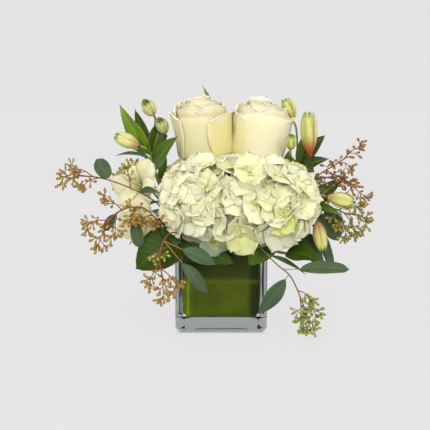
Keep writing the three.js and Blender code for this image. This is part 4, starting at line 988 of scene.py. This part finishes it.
# twigs: share of the spray, tip and perhaps their own seeds
# leaves: share, tip, width, where the face looks, bow, outline and the stalk's share
sprays = [
    dict(name="left_upper", mouth=(-33, -16), bark="red", seeds="orange", seed=61,
         route=[(-60, -32, 130), (-74, -42, 146), (-102, -45, 161), (-130, -46, 170), (-152, -46, 172)],
         twigs=[(0.96, (-172, -44, 169)), (0.93, (-158, -50, 180)), (0.90, (-150, -40, 158)),
                (0.75, (-102, -34, 181), "green")],
         leaves=[(0.85, (-132, -47, 190), 17, (0.3, -0.9, 0.2), 0, "round", 0.12),
                 (0.72, (-64, -62, 156), 9, (0.2, -0.8, 0.6), 3, "lance", 0.12)]),
    dict(name="left_middle", mouth=(-29, -26), bark="red", seeds="orange", seed=62,
         route=[(-66, -52, 124), (-84, -58, 140), (-106, -60, 137), (-123, -62, 123)],
         twigs=[(0.97, (-144, -65, 120)), (0.95, (-131, -66, 98)), (0.92, (-112, -66, 110)),
                (0.88, (-124, -60, 148)), (0.70, (-84, -72, 126)), (0.74, (-92, -74, 140)),
                (0.62, (-70, -74, 124)), (0.80, (-96, -72, 126))],
         leaves=[(0.90, (-126, -52, 112), 11, (0, -0.9, 0.4), 2, "lance", 0.12),
                 (0.82, (-86, -62, 97), 14, (-0.2, -0.9, 0.3), 2, "round", 0.3),
                 (0.55, (-47, -66, 98), 13, (0.1, -0.9, 0.2), 2, "lance", 0.1)]),
    dict(name="left_hanging", mouth=(-17, -34), bark="red", seeds="orange", seed=63,
         route=[(-38, -62, 111), (-52, -80, 117), (-59, -89, 111), (-64, -92, 94), (-61, -92, 72)],
         twigs=[(0.97, (-60, -89, 47)), (0.95, (-45, -88, 60)), (0.92, (-76, -87, 62)),
                (0.84, (-66, -86, 92), "green")],
         leaves=[(0.80, (-6, -86, 84), 16, (0, -0.8, 0.5), 4, "oval", 0.36),
                 (0.80, (-14, -84, 52), 14, (0.2, -0.9, 0.2), 4, "oval", 0.42)]),
    dict(name="right_upper", mouth=(35, -3), bark="red", seeds="rust", seed=64, crowd=2,
         route=[(70, -8, 128), (92, -12, 152), (108, -16, 170), (124, -17, 180), (136, -16, 188)],
         twigs=[(0.98, (153, -15, 200)), (0.95, (142, -22, 176)), (0.88, (158, -28, 144)),
                (0.86, (142, -36, 160)), (0.92, (122, -10, 180)), (0.80, (130, -30, 164))],
         leaves=[(0.80, (130, 10, 160), 13, (0, 0.2, 1), 3, "oval", 0.12)]),
    dict(name="right_low", mouth=(34, -11), bark="brown", seeds="olive", seed=65,
         route=[(76, -15, 112), (98, -24, 124), (116, -38, 136), (136, -45, 130)],
         twigs=[(0.98, (158, -45, 122)), (0.95, (134, -48, 105)), (0.94, (150, -46, 138), "orange"),
                (0.90, (124, -46, 118)), (0.97, (146, -46, 108))],
         leaves=[(0.68, (108, -48, 68), 17, (0.3, -0.9, 0.2), 3, "round", 0.12),
                 (0.76, (121, -32, 68), 14, (0.4, -0.8, 0.2), 3, "round", 0.12),
                 (0.86, (128, -24, 97), 25, (0.1, -0.9, 0.3), 3, "oval", 0.04)]),
    dict(name="right_hanging", mouth=(21, -33), bark="brown", seeds="green", seed=66, fork=0.62,
         route=[(35, -62, 106), (46, -78, 95), (58, -84, 84), (71, -86, 73), (79, -88, 58), (86, -91, 40)],
         twigs=[(0.97, (94, -88, 13)), (0.96, (101, -87, 28)), (0.94, (84, -86, 26)), (0.91, (95, -85, 44)),
                (0.98, (86, -87, 14))],
         leaves=[(0.78, (133, -85, 79), 15, (0, -0.75, 0.65), 4, "round", 0.26),
                 (0.82, (40, -82, 31), 17, (0.2, -0.9, 0.3), 3, "oval", 0.12),
                 (0.66, (90, -62, 68), 8, (0, -0.5, 0.9), 3, "lance", 0.12)]),
    dict(name="back_left", mouth=(-27, 25), bark="red", seeds="orange", seed=67,
         route=[(-62, 58, 132), (-84, 72, 146), (-104, 78, 150)],
         twigs=[(0.97, (-124, 80, 146)), (0.94, (-110, 84, 166)), (0.90, (-104, 92, 134))],
         leaves=[(0.80, (-64, 88, 168), 12, (0, 0.7, 0.7), 4, "lance", 0.12),
                 (0.70, (-92, 52, 118), 13, (-0.4, 0.2, 0.9), 3, "oval", 0.12)]),
    dict(name="back_right", mouth=(29, 24), bark="brown", seeds="olive", seed=68,
         route=[(68, 58, 124), (88, 72, 134), (106, 80, 134)],
         twigs=[(0.97, (126, 80, 124)), (0.94, (116, 86, 148)), (0.90, (102, 96, 118))],
         leaves=[(0.80, (78, 90, 160), 12, (0, 0.7, 0.7), 4, "lance", 0.12),
                 (0.70, (98, 48, 104), 13, (0.4, 0.2, 0.9), 3, "oval", 0.12)]),
]


def addSeedCase(pile, root, way, tints, draw):
    size = draw.uniform(0.85, 1.1)
    long = seedCase["length"] * size
    wide = seedCase["radius"] * size
    profile = [(0.5, 0), (wide * 0.62, long * 0.22), (wide * 0.92, long * 0.45), (wide, long * 0.62),
               (wide * 0.85, long * 0.72), (wide * 0.4, long * 0.84), (0.15, long)]
    pale, cap = tints
    body = mix(pale, cap, draw.uniform(0, 0.3))
    addTurned(pile, profile, 7, root, way, np.array([cap, body, body, body, mix(cap, body, 0.4), cap, cap]))


def addUmbel(pile, root, way, count, tints, stalk, draw):
    turn = upright(way, draw.uniform(0, 6))
    for i in range(count):
        lean = seedCase["lean"] if count > 1 else seedCase["loneLean"]
        azimuth = 2 * math.pi * i / count
        aim = turn @ point(math.sin(lean) * math.cos(azimuth), math.sin(lean) * math.sin(azimuth),
                           math.cos(lean))
        aim = unit(aim + draw.normal(0, 0.12, 3))
        end = root + aim * seedCase["stalk"]
        addTube(pile, [root, end + aim * 0.6], 0.42, 5, stalk)
        addSeedCase(pile, end, aim, tints, draw)


def makeSpray(plan):
    draw = np.random.default_rng(plan["seed"])
    bark = barkLook[plan["bark"]]
    tints = seedLook[plan["seeds"]]
    stalk = mix(bark, tints[0], 0.45)
    path = outerPath(plan)
    twigPile = Pile()
    shades = mix(barkLook["young"], bark, smooth(0.4, 0.75, np.linspace(0, 1, len(path))))
    thinning = smooth(0.3, 0.62, np.linspace(0, 1, len(path)))
    radii = stemPlan["woody"] * (1 - thinning) + stemPlan["woodyTip"] * thinning
    addTube(twigPile, path, radii, 8, shades)
    tip, way = along(path, 1.0)
    addUmbel(twigPile, tip, way, 4, tints, stalk, draw)
    for share, end, *ownSeeds in plan["twigs"]:
        tints = seedLook[ownSeeds[0] if ownSeeds else plan["seeds"]]
        fork, _ = along(path, share)
        end = point(*end)
        bend = fork + (end - fork) * 0.5 + point(0, 0, 3)
        twig = smoothPath([fork, bend, end], 6)
        addTube(twigPile, twig, np.linspace(*stemPlan["twig"], len(twig)), 6, mix(bark, stalk, 0.3))
        steps = max(2, int(np.linalg.norm(end - fork) * 0.72 / seedCase["spacing"]))
        for i in range(steps):
            root, ahead = along(twig, 0.28 + 0.66 * (i + 0.5) / steps)
            side = unit(np.cross(ahead, up) + 1e-6)
            across = np.cross(ahead, side)
            turn = i * goldenTurn + draw.uniform(0, 1)
            out = unit((side * math.cos(turn) + across * math.sin(turn)) + ahead * 0.7)
            reach = seedCase["fork"] * plan.get("fork", 1.0) * draw.uniform(0.35, 0.85)
            tipPoint = root + out * reach
            addTube(twigPile, [root, tipPoint], 0.45, 5, stalk)
            addUmbel(twigPile, tipPoint, out, plan.get("crowd", 4), tints, stalk, draw)
        last, ahead = along(twig, 1.0)
        for count in (4, 1):
            addUmbel(twigPile, last - ahead * 5, ahead, count, tints, stalk, draw)
    name = "eucalyptus_" + plan["name"]
    twigPile.toPiece(name + "_seeded", skinTwig, "eucalyptus", name)
    leaves = Pile()
    for share, end, width, face, arch, outline, hold in plan["leaves"]:
        root, _ = along(path, share)
        end = point(*end)
        petiole = root + (end - root) * hold
        addTube(leaves, [root, petiole + (end - root) * 0.04], 0.5, 6, gumLeaf[plan["bark"]])
        tint = mix(gumLeaf["tint"], gumLeaf["dark"], draw.uniform(0, 0.5))
        addLeaf(leaves, petiole, end, point(*face), width, tint, gumLeaf["under"], outline=outline,
                arch=arch, cup=0.16, rows=19, cols=11, wave=0.3)
    leaves.toPiece(name + "_leaves", leafWaxy, "eucalyptus", name)


for plan in sprays:
    makeSpray(plan)
print("eucalyptus made")


salalLook = tintsOf(dark="#2f4409", mid="#3d560a", under="#7f9350", stalk="#6a5a30")
# leaves: share of the stem, tip, width, where the face looks, bow, cup and colour
salalSprigs = [
    dict(name="left", mouth=(-24, -31), route=[(-48, -56, 101)],
         leaves=[(0.93, (14, -62, 80), 30, (0, -1, 0.3), 2, 0.1, "dark"),
                 (0.97, (-91, -62, 74), 48, (-0.3, -0.9, 0.4), 6, 0.25, "dark"),
                 (0.99, (-90, -30, 82), 26, (-0.5, 0, 0.9), 4, 0.25, "dark"),
                 (0.90, (-66, -54, 136), 34, (-0.1, -1, 0.1), 3, 0.15, "dark")]),
    dict(name="front", mouth=(28, -28), route=[(56, -58, 94), (70, -62, 91)],
         leaves=[(0.79, (29, -68, 79), 30, (0, -1, 0.2), 3, 0.15, "mid"),
                 (0.99, (104, -74, 84), 30, (0, -0.5, 0.9), 5, 0.25, "dark")]),
    dict(name="right", mouth=(34, 15), route=[(66, 22, 112)],
         leaves=[(0.97, (114, 4, 100), 34, (0.2, 0, 1), 7, 0.25, "mid"),
                 (0.99, (88, 54, 99), 30, (0.2, 0.3, 0.9), 5, 0.25, "mid")]),
    dict(name="back_left", mouth=(-18, 33), route=[(-42, 60, 106)],
         leaves=[(0.96, (-20, 98, 75), 34, (0, 0.8, 0.6), 4, 0.25, "mid"),
                 (0.99, (-84, 70, 84), 34, (-0.4, 0.4, 0.8), 6, 0.25, "dark")]),
    dict(name="back_right", mouth=(19, 33), route=[(40, 60, 106)],
         leaves=[(0.96, (26, 98, 74), 34, (0, 0.8, 0.6), 4, 0.25, "mid"),
                 (0.99, (82, 76, 84), 34, (0.4, 0.4, 0.8), 6, 0.25, "dark")]),
    dict(name="side", mouth=(-34, 16), route=[(-62, 24, 110)],
         leaves=[(0.97, (-104, 16, 84), 34, (-0.4, 0, 0.9), 6, 0.25, "mid"),
                 (0.99, (-92, 56, 112), 30, (-0.2, 0.3, 0.9), 6, 0.25, "mid")]),
]


def makeSalal(plan, seed):
    draw = np.random.default_rng(seed)
    path = outerPath(plan)
    pile = Pile()
    addTube(pile, path, stemPlan["woody"], 8, salalLook["stalk"])
    for share, tip, width, face, arch, cup, shade in plan["leaves"]:
        root, _ = along(path, share)
        addLeaf(pile, root, point(*tip), point(*face), width, salalLook[shade] * draw.uniform(0.92, 1.08),
                salalLook["under"], outline="heart", arch=arch, cup=cup, rows=41, cols=13, teeth=13,
                wave=0.35, thick=0.6)
    name = "salal_" + plan["name"]
    pile.toPiece(name + "_leaves", leafLeathery, "salal", name)


for number, plan in enumerate(salalSprigs):
    makeSalal(plan, firstSeeds["salal"] + number)
print("salal made")
